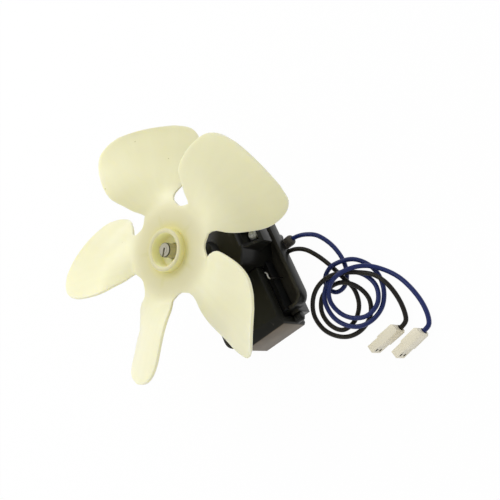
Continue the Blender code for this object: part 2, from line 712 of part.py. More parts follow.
def wire_object(name, points, radius, material_name, closed=False, resolution=2):
    """A round wire along a line of points, with filled ends where it is open."""
    data = bpy.data.curves.new(name, "CURVE")
    data.dimensions = "3D"
    data.bevel_depth = radius
    data.bevel_resolution = resolution
    data.use_fill_caps = not closed
    spline = data.splines.new("POLY")
    spline.points.add(len(points) - 1)
    for place, point in zip(spline.points, points):
        place.co = (*point, 1.0)
    spline.use_cyclic_u = closed
    data.materials.append(material(material_name))
    made = bpy.data.objects.new(name, data)
    bpy.context.scene.collection.objects.link(made)
    return made


def build_shading_rings():
    """Two copper rings, each round one half of a pole."""
    lift = SHADING_WIRE_RADIUS + GAP
    for number, (start, end) in enumerate(SHADING_ANGLES, 1):
        first, last = polar(SHADING_CIRCLE, start), polar(SHADING_CIRCLE, end)
        corner = SHADING_WIRE_RADIUS
        across = Vector((last[0] - first[0], last[1] - first[1], 0.0))
        width = across.length
        across.normalize()
        low, high = STACK_LOW - lift, STACK_TOP + lift
        loop = rounded_rectangle((0.0, low), (width, high), corner, 3)
        corner_one = Vector((first[0], first[1], 0.0))
        points = [corner_one + across * along + Vector((0.0, 0.0, z)) for along, z in loop]
        wire_object(
            f"shading_ring_{number}", points, SHADING_WIRE_RADIUS, "copper", closed=True, resolution=1)


def build_coil():
    """The core bar that closes the stack, the bobbin on it and the winding."""
    half_bar = CORE_BAR_WIDTH / 2
    add_object("coil_core", box_shape(
        (CORE_BAR_X - half_bar, -CORE_BAR_HALF_LENGTH, STACK_LOW),
        (CORE_BAR_X + half_bar, CORE_BAR_HALF_LENGTH, STACK_TOP)),
        "core_steel")
    flange = CORE_BAR_HALF_LENGTH - BOBBIN_END_INSET
    tube_x = half_bar + GAP + BOBBIN_WALL
    tube_low, tube_high = STACK_LOW - GAP - BOBBIN_WALL, STACK_TOP + GAP + BOBBIN_WALL
    flange_low, flange_high = CORE_BAR_X - FLANGE_HALF_SIZE_X, CORE_BAR_X + FLANGE_HALF_SIZE_X
    outline = chamfered_rectangle((flange_low, FLANGE_LOW), (flange_high, FLANGE_HIGH), FLANGE_CHAMFER)
    bobbin = add_object("coil_bobbin", prism_shape(outline, -flange, flange), "bobbin_nylon")
    bobbin.data.transform(Matrix.Rotation(math.radians(90), 4, "X"))
    groove = box_shape((flange_low - GAP, -flange + BOBBIN_WALL, FLANGE_LOW - GAP),
                       (flange_high + GAP, flange - BOBBIN_WALL, FLANGE_HIGH + GAP))
    barrel = box_shape((CORE_BAR_X - tube_x, -flange, tube_low), (CORE_BAR_X + tube_x, flange, tube_high))
    cut_from(bobbin, groove)
    add_to(bobbin, barrel)
    cut_from(bobbin, box_shape((CORE_BAR_X - half_bar - GAP, -flange - GAP, STACK_LOW - GAP),
                               (CORE_BAR_X + half_bar + GAP, flange + GAP, STACK_TOP + GAP)))
    half_winding = flange - BOBBIN_WALL - GAP
    outline = rounded_rectangle(
        (flange_low + WINDING_INSET, FLANGE_LOW + WINDING_INSET),
        (flange_high - WINDING_INSET, FLANGE_HIGH - WINDING_INSET), WINDING_CORNER, 4)
    winding = add_object("coil_winding", prism_shape(outline, -half_winding, half_winding), "winding_tape")
    hole = rounded_rectangle(
        (CORE_BAR_X - tube_x - GAP, tube_low - GAP), (CORE_BAR_X + tube_x + GAP, tube_high + GAP),
        WINDING_HOLE_CORNER, 2)
    cut_from(winding, prism_shape(hole, -half_winding - GAP, half_winding + GAP))
    winding.data.transform(Matrix.Rotation(math.radians(90), 4, "X"))
    return smooth(winding)


# Housing

def build_rear_housing():
    """The rear moulding: a shallow box for the stack, a rimmed tray round it and the rear bearing's seat."""
    housing = add_object("rear_housing", prism_shape(
        keyhole(BOX_YOKE_RADIUS, BOX_LEG_HALF_WIDTH, BOX_END), 0.0, TRAY_FLOOR_TOP), "black_plastic")
    tray = rounded_rectangle((-TRAY_HEAD, -TRAY_HALF_WIDTH), (TRAY_FOOT, TRAY_HALF_WIDTH), TRAY_CORNER)
    well_side = TRAY_HALF_WIDTH - TRAY_WALL
    well = rounded_rectangle(
        (-TRAY_HEAD + TRAY_WALL, -well_side), (TRAY_FOOT - TRAY_WALL, well_side), TRAY_CORNER - TRAY_WALL)
    add_to(housing, prism_shape(tray, BOX_HEIGHT, TRAY_TOP))
    cut_from(housing, prism_shape(well, TRAY_FLOOR_TOP, TRAY_TOP + GAP))
    for side in (-1, 1):
        add_to(housing, cylinder_shape(
            (0.0, side * EAR_SCREW_DISTANCE), COLUMN_RADIUS, SCREW_LOW - COLUMN_DROP, BOX_HEIGHT + GAP))
    deep = keyhole(YOKE_RADIUS - STACK_LEDGE, WINDOW_HALF_WIDTH, BOX_END - BOX_WALL)
    cut_from(housing, prism_shape(deep, BOX_FLOOR, TRAY_TOP))
    for angle in RIVET_ANGLES:
        cut_from(housing, cylinder_shape(
            polar(RIVET_CIRCLE, angle), RIVET_HEAD_RADIUS + GAP, BOX_FLOOR, STACK_LOW, 16))
    seat = keyhole(YOKE_RADIUS + BOX_CLEARANCE, LEG_HALF_WIDTH + BOX_CLEARANCE, LEG_END + BOX_CLEARANCE)
    cut_from(housing, prism_shape(seat, STACK_LOW - GAP, TRAY_TOP + GAP))
    notch = COVER_HALF_WIDTH + GAP
    notch_start = BOX_END - BOX_WALL - GAP
    cut_from(housing, box_shape((notch_start, -notch, BOX_FLOOR), (BOX_END + GAP, notch, TRAY_TOP + GAP)))
    pocket_top = REAR_POCKET_LOW + REAR_BEARING_LENGTH + GAP
    centre = (0.0, 0.0)
    add_to(housing, cylinder_shape(centre, POCKET_RADIUS + BOX_WALL, 0.0, pocket_top, TURNED_SIDES))
    cut_from(housing, cylinder_shape(centre, POCKET_RADIUS, REAR_POCKET_LOW, pocket_top + GAP, TURNED_SIDES))
    for side in (-1, 1):
        cut_from(housing, cylinder_shape(
            (0.0, side * EAR_SCREW_DISTANCE), SCREW_RADIUS + GAP, SCREW_LOW - GAP, TRAY_FLOOR_TOP + GAP))
    add_to(housing, cover_lug())
    for x, z, radius in (
            (GROMMET_X, GROMMET_Z, GROMMET_NECK_RADIUS + GAP), (LEAD_HOLE_X, LEAD_HOLE_Z, LEAD_RADIUS + GAP)):
        cut_from(housing, side_hole(x, z, radius, WINDOW_HALF_WIDTH, BOX_YOKE_RADIUS + GAP))
    return smooth(housing)


def cover_lug():
    """A short ribbed barrel beside the coil cover, on the box's end wall and the leads' side."""
    start = COVER_HALF_WIDTH + GAP
    end = start + LUG_LENGTH
    pitch = (LUG_LENGTH - LUG_EDGE) / LUG_RIBS
    outline = [(0.0, start), (LUG_RADIUS, start)]
    for rib in range(LUG_RIBS):
        top = start + (rib + 1) * pitch
        outline += [(LUG_RADIUS, top - pitch * 0.35), (LUG_RADIUS - LUG_RIB_DEPTH, top - pitch * 0.2)]
        outline.append((LUG_RADIUS, top))
    outline += [(LUG_RADIUS - LUG_EDGE, end), (0.0, end)]
    place = Matrix.Translation((BOX_END + LUG_REACH - LUG_RADIUS, 0.0, BOX_HEIGHT - LUG_DROP))
    turn = Matrix.Rotation(math.radians(-90), 4, "X")
    return turn_shape(turned_shape(outline[::-1], LUG_SIDES), place @ turn)


def side_hole(x, z, radius, low, high):
    """A round hole along Y."""
    hole = cylinder_shape((x, -z), radius, low, high, SMALL_SIDES)
    return turn_shape(hole, Matrix.Rotation(math.radians(-90), 4, "X"))


def build_front_bracket():
    """The front moulding: a dome over the rotor with a bearing nose, two screw ears and their webs."""
    edge = DOME_EDGE_RADIUS
    rounded = [(DOME_RADIUS - edge + x, DOME_TOP - edge + z) for x, z in arc((0.0, 0.0), edge, 0.0, 90.0, 3)]
    bracket = add_object("front_bracket", turned_shape(
        [(0.0, DOME_LOW), (DOME_RADIUS, DOME_LOW)] + rounded + [(0.0, DOME_TOP)]), "black_plastic")
    for side in (-1, 1):
        add_to(bracket, ear_shape(side))
        add_to(bracket, cylinder_shape(
            (0.0, side * EAR_SCREW_DISTANCE), COLUMN_RADIUS, DOME_LOW, EAR_TOP - GAP))
    flat = DOME_RADIUS * 2
    cut_from(bracket, box_shape((DOME_FLAT, -flat, STACK_TOP), (flat, flat, DOME_TOP + GAP)))
    step = DOME_STEP
    hollow = turned_shape([
        (0.0, DOME_LOW - GAP), (DOME_INNER_RADIUS, DOME_LOW - GAP), (DOME_INNER_RADIUS, STACK_TOP + GAP),
        (DOME_INNER_RADIUS - step, STACK_TOP + GAP), (DOME_INNER_RADIUS - step, DOME_TOP - DOME_TOP_WALL),
        (0.0, DOME_TOP - DOME_TOP_WALL)])
    limit = add_object("limit", box_shape((-flat, -flat, 0.0), (DOME_FLAT - DOME_WALL, flat, NOSE_TOP)))
    keep_inside(limit, hollow)
    room = bmesh.new()
    room.from_mesh(limit.data)
    bpy.data.objects.remove(limit, do_unlink=True)
    cut_from(bracket, room)
    flat_back = EAR_SCREW_DISTANCE - SCREW_HEAD_RADIUS - GAP
    room = EAR_HALF_WIDTH - EAR_WALL
    for side in (-1, 1):
        sides = sorted((side * (flat_back - POCKET_BACKING), side * DOME_INNER_RADIUS))
        add_to(bracket, box_shape(
            (-room, sides[0], STACK_TOP + GAP), (room, sides[1], DOME_TOP - DOME_TOP_WALL / 2)))
        sides = sorted((side * flat_back, side * (DOME_RADIUS + GAP)))
        cut_from(bracket, box_shape((-room, sides[0], EAR_TOP), (room, sides[1], DOME_TOP + GAP)))
    leg = LEG_HALF_WIDTH + GAP
    cut_from(bracket, box_shape((0.0, -leg, DOME_LOW - GAP), (flat, leg, STACK_TOP + GAP)))
    slope = NOSE_TAPER
    add_to(bracket, turned_shape([
        (0.0, NOSE_LOW), (NOSE_RADIUS, NOSE_LOW), (NOSE_RADIUS, DOME_TOP), (NOSE_RADIUS - slope, NOSE_TOP),
        (0.0, NOSE_TOP)]))
    shaft_hole = SHAFT_RADIUS + 2 * GAP
    cut_from(bracket, turned_shape([
        (0.0, NOSE_LOW - GAP), (POCKET_RADIUS, NOSE_LOW - GAP), (POCKET_RADIUS, NOSE_POCKET_TOP),
        (shaft_hole, NOSE_POCKET_TOP), (shaft_hole, NOSE_TOP + GAP), (0.0, NOSE_TOP + GAP)]))
    for side in (-1, 1):
        cut_from(bracket, cylinder_shape(
            (0.0, side * EAR_SCREW_DISTANCE), SCREW_RADIUS + GAP, DOME_LOW - GAP, EAR_TOP + GAP))
    return smooth(bracket)


def ear_shape(side):
    """One ear: a floor for the screw between two webs that fall away from the dome.

    The ear by the leads is longer and has an end wall; the far one is open at its end.
    """
    inner = DOME_RADIUS - DOME_WALL
    half = EAR_HALF_WIDTH
    if side > 0:
        end, wall_top, room_end = EAR_END, EAR_WALL_TOP, EAR_END - EAR_WALL
    else:
        end, wall_top, room_end = FAR_EAR_END, FAR_EAR_WALL_TOP, FAR_EAR_END + GAP
    outline = [
        (inner, EAR_TOP - EAR_THICKNESS), (end, EAR_TOP - EAR_THICKNESS), (end, wall_top),
        (inner, DOME_TOP - DOME_EDGE_RADIUS)]
    ear = add_object("ear", prism_shape(outline, -half, half))
    room = half - EAR_WALL
    room_outline = [
        (inner - GAP, EAR_TOP), (room_end, EAR_TOP), (room_end, DOME_TOP + GAP),
        (inner - GAP, DOME_TOP + GAP)]
    cut_from(ear, prism_shape(room_outline, -room, room))
    shape = bmesh.new()
    shape.from_mesh(ear.data)
    bpy.data.objects.remove(ear, do_unlink=True)
    upright = Matrix.Rotation(math.radians(90 * side), 4, "Z") @ Matrix.Rotation(math.radians(90), 4, "X")
    return turn_shape(shape, upright)


def build_screws():
    """Two cross-slotted pan-head screws through the bracket's ears."""
    low = EAR_TOP + GAP
    high = low + SCREW_HEAD_HEIGHT
    edge = SCREW_HEAD_EDGE
    profile = [
        (0.0, high), (SCREW_HEAD_RADIUS - edge, high), (SCREW_HEAD_RADIUS, high - edge),
        (SCREW_HEAD_RADIUS, low), (SCREW_RADIUS, low), (SCREW_RADIUS, SCREW_LOW + SCREW_RADIUS),
        (SCREW_TIP_RADIUS, SCREW_LOW), (0.0, SCREW_LOW)]
    half, reach = CROSS_SLOT_WIDTH / 2, SCREW_HEAD_RADIUS * 0.55
    for name, side in (("bracket_screw_left", -1), ("bracket_screw_right", 1)):
        screw = turned(name, profile, "zinc_steel", SMALL_SIDES)
        cross = box_shape((-reach, -half, high - CROSS_SLOT_DEPTH), (reach, half, high + GAP))
        other = box_shape((-half, -reach, high - CROSS_SLOT_DEPTH), (half, reach, high + GAP))
        cut_from(screw, cross)
        cut_from(screw, other)
        smooth(screw)
        screw.location = (0.0, side * EAR_SCREW_DISTANCE, 0.0)


def build_coil_cover():
    """The moulded cover over the coil: open below over the stack, full depth past the end of the legs."""
    half = COVER_HALF_WIDTH
    profile = [
        (COVER_START, COVER_LOW), (COVER_START, COVER_TOP), (COVER_END - COVER_CHAMFER, COVER_TOP),
        (COVER_END, COVER_TOP - COVER_CHAMFER), (COVER_END, 0.0), (COVER_FOOT_START, 0.0),
        (COVER_FOOT_START, COVER_LOW)]
    cover = add_object("coil_cover", prism_shape(profile, -half, half), "black_plastic")
    cover.data.transform(Matrix.Rotation(math.radians(90), 4, "X"))
    corner = COVER_CORNER
    plan = [
        (COVER_START, -half), (COVER_END - corner, -half), (COVER_END, -half + corner),
        (COVER_END, half - corner), (COVER_END - corner, half), (COVER_START, half)]
    keep_inside(cover, prism_shape(plan, -GAP, COVER_TOP + GAP))
    wall = COVER_WALL
    inside = [
        (COVER_START + wall, COVER_LOW - GAP), (COVER_START + wall, COVER_TOP - wall),
        (COVER_END - COVER_CHAMFER - wall / 2, COVER_TOP - wall),
        (COVER_END - wall, COVER_TOP - COVER_CHAMFER - wall / 2), (COVER_END - wall, wall),
        (COVER_FOOT_START - GAP, wall), (COVER_FOOT_START - GAP, COVER_LOW - GAP)]
    room = prism_shape(inside, -half + wall, half - wall)
    cut_from(cover, turn_shape(room, Matrix.Rotation(math.radians(90), 4, "X")))
    return smooth(cover, 30)


def build_cover_clips():
    """Two bent spring wires that hook over the stack and run back beside the cover."""
    radius = CLIP_WIRE_RADIUS
    outer = LEG_HALF_WIDTH + BOX_CLEARANCE / 2 + radius
    top = STACK_TOP + GAP + radius
    for name, side in (("cover_clip_left", -1), ("cover_clip_right", 1)):
        bends = [(CLIP_POSITION, outer + CLIP_SPREAD, TRAY_FLOOR_TOP + GAP)]
        for back, inward, down in CLIP_BENDS:
            bends.append((CLIP_POSITION - back * MM, outer - inward * MM, top - down * MM))
        points = [Vector((x, side * y, z)) for x, y, z in bends]
        wire_object(name, smooth_curve(points, CLIP_SAMPLES), radius, "zinc_steel", resolution=1)


# Leads

# Route points in mm past the motor's wall: X, Y and height over the surface, up to the connector
BLUE_ROUTE = (
    (5.9, 30.2, 3.9), (7.4, 33.4, 3.9), (10.0, 37.0, 2.9), (14.2, 39.6, 1.8), (19.8, 41.6, 1.3),
    (26.6, 42.4, 1.2), (32.4, 41.0, 1.2), (36.2, 37.4, 1.2), (36.2, 33.0, 1.3), (32.6, 30.4, 1.8),
    (28.6, 32.0, 2.8), (26.6, 36.6, 3.9), (27.0, 41.8, 4.0), (29.0, 47.4, 2.6), (33.8, 51.6, 1.4),
    (40.2, 53.8, 1.2), (47.2, 52.8, 1.2), (52.8, 48.8, 1.4), (55.6, 43.0, 2.8), (55.0, 36.6, 3.8),
    (50.8, 31.0, 3.7), (44.8, 27.8, 4.0), (37.6, 28.6, 5.4), (33.0, 33.4, 6.6), (31.4, 39.6, 5.8),
    (33.6, 44.8, 3.9), (38.2, 49.2, 2.6), (44.8, 51.2, 2.6), (51.0, 48.8, 3.4), (53.2, 42.6, 3.9),
    (50.8, 36.2, 3.9), (45.8, 31.8, 4.2), (40.0, 31.2, 6.4), (35.2, 35.4, 9.0), (33.6, 42.0, 9.8),
    (34.0, 48.4, 7.2), (36.2, 53.2, 4.4), (40.4, 57.4, 2.4), (46.0, 61.2, 1.8), (52.6, 63.8, 1.9),
    (60.4, 65.2, 1.9), (66.6, 64.8, 2.0), (69.6, 63.4, 2.0), (70.4, 61.4, 2.0), (70.8, 59.2, 2.0))
BLACK_ROUTE = (
    (10.2, 26.2, 3.6), (12.6, 29.4, 3.0), (16.4, 32.0, 2.0), (20.8, 34.2, 1.3), (27.0, 37.0, 1.7),
    (33.8, 40.2, 3.9), (40.2, 41.6, 2.4), (46.6, 39.8, 1.3), (51.2, 34.8, 1.2), (51.6, 28.0, 1.2),
    (46.6, 23.6, 1.3), (40.0, 23.0, 2.0), (35.0, 27.2, 3.4), (34.0, 34.2, 4.3), (36.6, 40.8, 6.0),
    (41.4, 44.8, 4.4), (47.4, 45.6, 2.2), (53.2, 42.2, 1.3), (56.0, 36.0, 1.2), (55.4, 29.2, 1.2),
    (51.6, 23.4, 1.2), (46.0, 19.6, 1.3), (39.4, 19.2, 2.4), (34.2, 23.4, 5.0), (31.6, 30.2, 7.6),
    (31.6, 37.4, 8.6), (33.4, 43.2, 6.9), (36.4, 48.4, 5.2), (40.6, 53.4, 4.6), (46.6, 56.6, 4.2),
    (54.2, 57.6, 3.0), (60.4, 56.8, 2.2), (63.2, 55.6, 2.0), (64.2, 53.6, 2.0), (64.6, 51.0, 2.0))
LEAD_POINT_SPACING = 4.5 * MM
BLUE_CONNECTOR_BACK, BLUE_CONNECTOR_WAY = (70.6, 60.4), (0.20, -0.98)
BLACK_CONNECTOR_BACK, BLACK_CONNECTOR_WAY = (64.4, 52.1), (0.14, -0.99)


def build_lead(name, x, z, straight_end, route, material_name):
    """One lead as a plain tube, straight out through the box's wall and then along its route."""
    points = [Vector((x, BOX_YOKE_RADIUS - LEAD_START_DEPTH, z)), Vector((x, straight_end, z))]
    points += [Vector(point) * MM for point in route]
    length = sum((after - before).length for before, after in zip(points, points[1:]))
    samples = round(length / LEAD_POINT_SPACING)
    return wire_object(name, smooth_curve(points, samples), LEAD_RADIUS, material_name)


def build_grommet():
    """The rounded sleeve that the blue lead leaves through, its neck held in the box's wall."""
    bore = LEAD_RADIUS + GAP
    rounding = GROMMET_ROUNDING
    inner, wall = BOX_YOKE_RADIUS - LEAD_START_DEPTH, BOX_YOKE_RADIUS + GAP
    neck = GROMMET_NECK_RADIUS
    nose = arc((GROMMET_RADIUS - rounding, GROMMET_END - rounding), rounding, 0.0, 80.0, 4)
    profile = [(bore, inner), (neck, inner), (neck, wall), (GROMMET_RADIUS, wall)]
    profile += nose + [(bore, GROMMET_END)]
    grommet = turned("cord_grommet", profile, "black_plastic", SMALL_SIDES)
    grommet.data.transform(Matrix.Rotation(math.radians(-90), 4, "X"))
    grommet.location = (GROMMET_X, 0.0, GROMMET_Z)
    return grommet


def connector_place(back, front_way):
    """The frame of a connector: X along it from its back face, Z up."""
    heading = math.atan2(front_way[1], front_way[0])
    return Matrix.Translation(Vector((back[0] * MM, back[1] * MM, 0.0))) @ Matrix.Rotation(heading, 4, "Z")


def build_connector(colour, back, front_way):
    """A two-way housing on its narrow edge with the lead's terminal in its lower way."""
    half, length = CONNECTOR_WIDTH / 2, CONNECTOR_LENGTH
    corner, inset = CONNECTOR_CORNER, CONNECTOR_NOSE_INSET
    shoulder = length - CONNECTOR_NOSE_LENGTH
    plan = [
        (0.0, -half + corner), (corner, -half), (shoulder, -half), (shoulder + inset, -half + inset),
        (length, -half + inset), (length, half - inset), (shoulder + inset, half - inset), (shoulder, half),
        (corner, half), (0.0, half - corner)]
    housing = add_object(f"connector_{colour}", prism_shape(plan, 0.0, CONNECTOR_HEIGHT), "white_nylon")
    top_step = box_shape(
        (shoulder, -half - GAP, CONNECTOR_HEIGHT - inset), (length + GAP, half + GAP, CONNECTOR_HEIGHT + GAP))
    cut_from(housing, top_step)
    way = CONNECTOR_WAY_SIZE / 2
    start = CONNECTOR_BORE_DEPTH - GAP
    for height in CONNECTOR_WAYS:
        cut_from(housing, box_shape((start, -way, height - way), (length + GAP, way, height + way)))
    bore = cylinder_shape((-CONNECTOR_WAYS[0], 0.0), LEAD_RADIUS + 1.5 * GAP, -GAP, CONNECTOR_BORE_DEPTH, 12)
    cut_from(housing, turn_shape(bore, Matrix.Rotation(math.radians(90), 4, "Y")))
    smooth(housing)
    outer = way - GAP
    inner = outer - TERMINAL_WALL
    height = CONNECTOR_WAYS[0]
    section = [
        (-outer, height - outer), (outer, height - outer), (outer, height + outer), (inner, height + outer),
        (inner, height - inner), (-inner, height - inner), (-inner, height + outer), (-outer, height + outer)]
    terminal = add_object(
        f"terminal_{colour}",
        prism_shape(section, CONNECTOR_BORE_DEPTH, CONNECTOR_BORE_DEPTH + TERMINAL_LENGTH), "tinned_brass")
    terminal.data.transform(Matrix(((0, 0, 1, 0), (1, 0, 0, 0), (0, 1, 0, 0), (0, 0, 0, 1))))
    place = connector_place(back, front_way)
    housing.matrix_world = place
    terminal.matrix_world = place


def build_parts():
    """Every piece of the fan motor."""
    clear_scene()
    build_fan()
    build_sleeve()
    build_shaft()
    build_rotor()
    build_bearings()
    build_stack()
    build_rivets()
    build_shading_rings()
    build_coil()
    build_rear_housing()
    build_front_bracket()
    build_screws()
    build_coil_cover()
    build_cover_clips()
    build_grommet()
    build_lead("lead_blue", GROMMET_X, GROMMET_Z, GROMMET_END + GAP, BLUE_ROUTE, "blue_pvc")
    build_lead("lead_black", LEAD_HOLE_X, LEAD_HOLE_Z, BLACK_STRAIGHT_END, BLACK_ROUTE, "black_pvc")
    build_connector("blue", BLUE_CONNECTOR_BACK, BLUE_CONNECTOR_WAY)
    build_connector("black", BLACK_CONNECTOR_BACK, BLACK_CONNECTOR_WAY)


if __name__ == "__main__":
    build_parts()
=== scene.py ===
"""Looks of a small fan motor: a five-bladed cream plastic fan on a black shaded-pole motor.

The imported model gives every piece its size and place. This file rounds the mouldings, models
the fan's blades finely, lays the two leads and gives each piece its finish.
"""

import json
import logging
import math
from collections.abc import Callable
from dataclasses import dataclass
from enum import Enum

import bpy
from mathutils import Matrix, Vector


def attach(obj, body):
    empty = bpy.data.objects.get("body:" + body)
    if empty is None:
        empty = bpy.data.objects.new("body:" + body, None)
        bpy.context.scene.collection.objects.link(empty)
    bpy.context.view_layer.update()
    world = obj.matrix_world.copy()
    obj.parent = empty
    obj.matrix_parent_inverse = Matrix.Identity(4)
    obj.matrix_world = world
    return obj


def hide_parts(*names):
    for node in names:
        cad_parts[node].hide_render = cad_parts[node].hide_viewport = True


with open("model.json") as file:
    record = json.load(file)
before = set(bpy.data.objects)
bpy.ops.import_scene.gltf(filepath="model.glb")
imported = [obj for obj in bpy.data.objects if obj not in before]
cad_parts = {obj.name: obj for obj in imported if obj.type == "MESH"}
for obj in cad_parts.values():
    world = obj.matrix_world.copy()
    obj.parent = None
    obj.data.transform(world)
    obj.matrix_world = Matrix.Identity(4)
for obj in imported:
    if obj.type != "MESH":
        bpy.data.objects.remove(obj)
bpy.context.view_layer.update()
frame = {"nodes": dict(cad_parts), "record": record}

LOG = logging.getLogger("fan_motor")
MM = 0.001
MERGE_DISTANCE = 0.001 * MM
WHITE = (1.0, 1.0, 1.0, 1.0)

Colour = tuple[float, float, float]
Point = tuple[float, float, float]
Profile = tuple[tuple[float, float], ...]
Socket = bpy.types.NodeSocket
Sockets = bpy.types.NodeOutputs
Piece = bpy.types.Object


class Body(Enum):
    """The two bodies that pieces ride on."""

    MOTOR = "motor"
    ROTOR = "rotor"


# Shader helpers

def srgb(red: int, green: int, blue: int) -> Colour:
    """Turn a screen colour, each channel from 0 to 255, into the linear values that shaders take.

    Args:
        red: The red channel.
        green: The green channel.
        blue: The blue channel.

    Returns:
        The linear colour.
    """
    def linear(value: int) -> float:
        """One channel."""
        share = value / 255
        return share / 12.92 if share <= 0.04045 else ((share + 0.055) / 1.055) ** 2.4
    return (linear(red), linear(green), linear(blue))


class Pen:
    """Lays and joins the nodes of one shader tree."""

    def __init__(self, tree: bpy.types.NodeTree) -> None:
        """Take the tree."""
        self.tree = tree

    def feed(self, made: bpy.types.Node, inputs: dict[str | int, object]) -> None:
        """Set a node's inputs to values, or join them to sockets.

        Args:
            made: The node.
            inputs: A value or a socket for each input.
        """
        for label, value in inputs.items():
            if isinstance(value, Socket):
                self.tree.links.new(value, made.inputs[label])
            else:
                made.inputs[label].default_value = value

    def add(
            self, kind: str, inputs: dict[str | int, object] | None = None,
            **settings: object) -> bpy.types.Node:
        """Add a node.

        Args:
            kind: The node's type without the part that all types share.
            inputs: Values or sockets for its inputs.
            settings: Properties to set on it first.

        Returns:
            The node.
        """
        made = self.tree.nodes.new("ShaderNode" + kind)
        for label, value in settings.items():
            setattr(made, label, value)
        self.feed(made, inputs or {})
        return made

    def math(self, operation: str, *values: float | Socket, clamp: bool = False) -> Socket:
        """One step of a sum."""
        return self.add("Math", dict(enumerate(values)), operation=operation, use_clamp=clamp).outputs[0]

    def vector(self, operation: str, inputs: dict[str | int, object], output: str = "Vector") -> Socket:
        """One step with vectors."""
        return self.add("VectorMath", inputs, operation=operation).outputs[output]

    def place(self) -> Socket:
        """The point's place on the piece, in metres."""
        return self.add("TexCoord").outputs["Object"]

    def parts(self, vector: Socket) -> Sockets:
        """A vector's X, Y and Z."""
        return self.add("SeparateXYZ", {"Vector": vector}).outputs

    def flat(self) -> Socket:
        """The place seen along the shaft, without its height."""
        return self.add("Mapping", {"Vector": self.place(), "Scale": (1.0, 1.0, 0.0)}).outputs["Vector"]

    def reach(self) -> Socket:
        """The distance from the shaft's axis."""
        return self.vector("LENGTH", {0: self.flat()}, "Value")

    def noise(self, vector: Socket, scale: float | Socket, detail: float = 2.0) -> Socket:
        """A cloudy number that varies over the piece."""
        return self.add("TexNoise", {"Vector": vector, "Scale": scale, "Detail": detail}).outputs["Fac"]

    def spread(self, value: Socket, contrast: Socket) -> Socket:
        """Pull a number away from a half, and keep it from 0 to 1."""
        return self.math("MULTIPLY_ADD", self.math("SUBTRACT", value, 0.5), contrast, 0.5, clamp=True)

    def ease(self, value: Socket, start: float, end: float, top: float = 1.0, bottom: float = 0.0) -> Socket:
        """A soft step from bottom at start to top at end."""
        inputs = {"Value": value, "From Min": start, "From Max": end, "To Min": bottom, "To Max": top}
        return self.add("MapRange", inputs, interpolation_type="SMOOTHSTEP").outputs["Result"]

    def blend(self, under: Colour | Socket, over: Colour | Socket, share: Socket) -> Socket:
        """Lay one colour over another where a mask says."""
        below, above = (colour if isinstance(colour, Socket) else (*colour, 1.0) for colour in (under, over))
        return self.add("Mix", {"Factor": share, "A": below, "B": above}, data_type="RGBA").outputs["Result"]

    def effect(self, effect: "Effect", **inputs: float) -> Socket:
        """The result of a shared effect."""
        return self.add("Group", inputs, node_tree=bpy.data.node_groups[effect.value.name]).outputs[0]


def lay_grain(pen: Pen, given: Sockets) -> Socket:
    """A fine moulded or cast grain as a height.

    Args:
        pen: Lays the group's nodes.
        given: The group's inputs.

    Returns:
        The height.
    """
    wide_share = 0.06
    place = pen.place()
    fine = pen.noise(place, given["Scale"], 3.0)
    wide = pen.noise(place, pen.math("MULTIPLY", given["Scale"], wide_share), 1.0)
    inputs = {"Factor": given["Waviness"], "A": fine, "B": wide}
    return pen.add("Mix", inputs, data_type="FLOAT").outputs["Result"]


def lay_mottle(pen: Pen, given: Sockets) -> Socket:
    """A slow, soft mask from 0 to 1 that varies a colour over a piece."""
    return pen.spread(pen.noise(pen.place(), given["Scale"]), given["Contrast"])


def lay_specks(pen: Pen, given: Sockets) -> Socket:
    """Rare small dots, as dust or charred grains in a moulding.

    Args:
        pen: Lays the group's nodes.
        given: The group's inputs.

    Returns:
        The mask of the dots.
    """
    left_bare = 0.86
    cells = pen.add("TexVoronoi", {"Vector": pen.place(), "Scale": given["Scale"]}).outputs
    pick = pen.add("SeparateColor", {"Color": cells["Color"]}).outputs["Red"]
    small = pen.math("LESS_THAN", cells["Distance"], given["Size"])
    return pen.math("MULTIPLY", small, pen.math("GREATER_THAN", pick, left_bare))


def lay_scuffs(pen: Pen, given: Sockets) -> Socket:
    """Short thin rubs that gather in patches, as handling leaves on a moulding.

    Args:
        pen: Lays the group's nodes.
        given: The group's inputs.

    Returns:
        The mask of the rubs.
    """
    turn, stretch, patch_scale = (0.3, 0.5, 0.9), (0.12, 1.0, 1.0), 110.0
    rub_limits, patch_limits = (0.62, 0.7), (0.52, 0.7)
    place = pen.place()
    drawn = pen.add("Mapping", {"Vector": place, "Rotation": turn, "Scale": stretch}).outputs["Vector"]
    rubs = pen.ease(pen.noise(drawn, given["Scale"]), *rub_limits)
    patches = pen.ease(pen.noise(place, patch_scale), *patch_limits)
    return pen.math("MULTIPLY", pen.math("MULTIPLY", rubs, patches), given["Amount"])


def lay_streaks(pen: Pen, given: Sockets) -> Socket:
    """Flow marks that run outwards from the shaft, as in a part moulded from its centre.

    Args:
        pen: Lays the group's nodes.
        given: The group's inputs.

    Returns:
        The mask of the flow marks.
    """
    wander_scale = 4.0
    flat = pen.flat()
    heading = pen.vector("NORMALIZE", {0: flat})
    wander = pen.vector("SCALE", {0: flat, "Scale": wander_scale})
    total = pen.vector("ADD", {0: heading, 1: wander})
    return pen.spread(pen.noise(total, given["Scale"], 3.0), given["Contrast"])


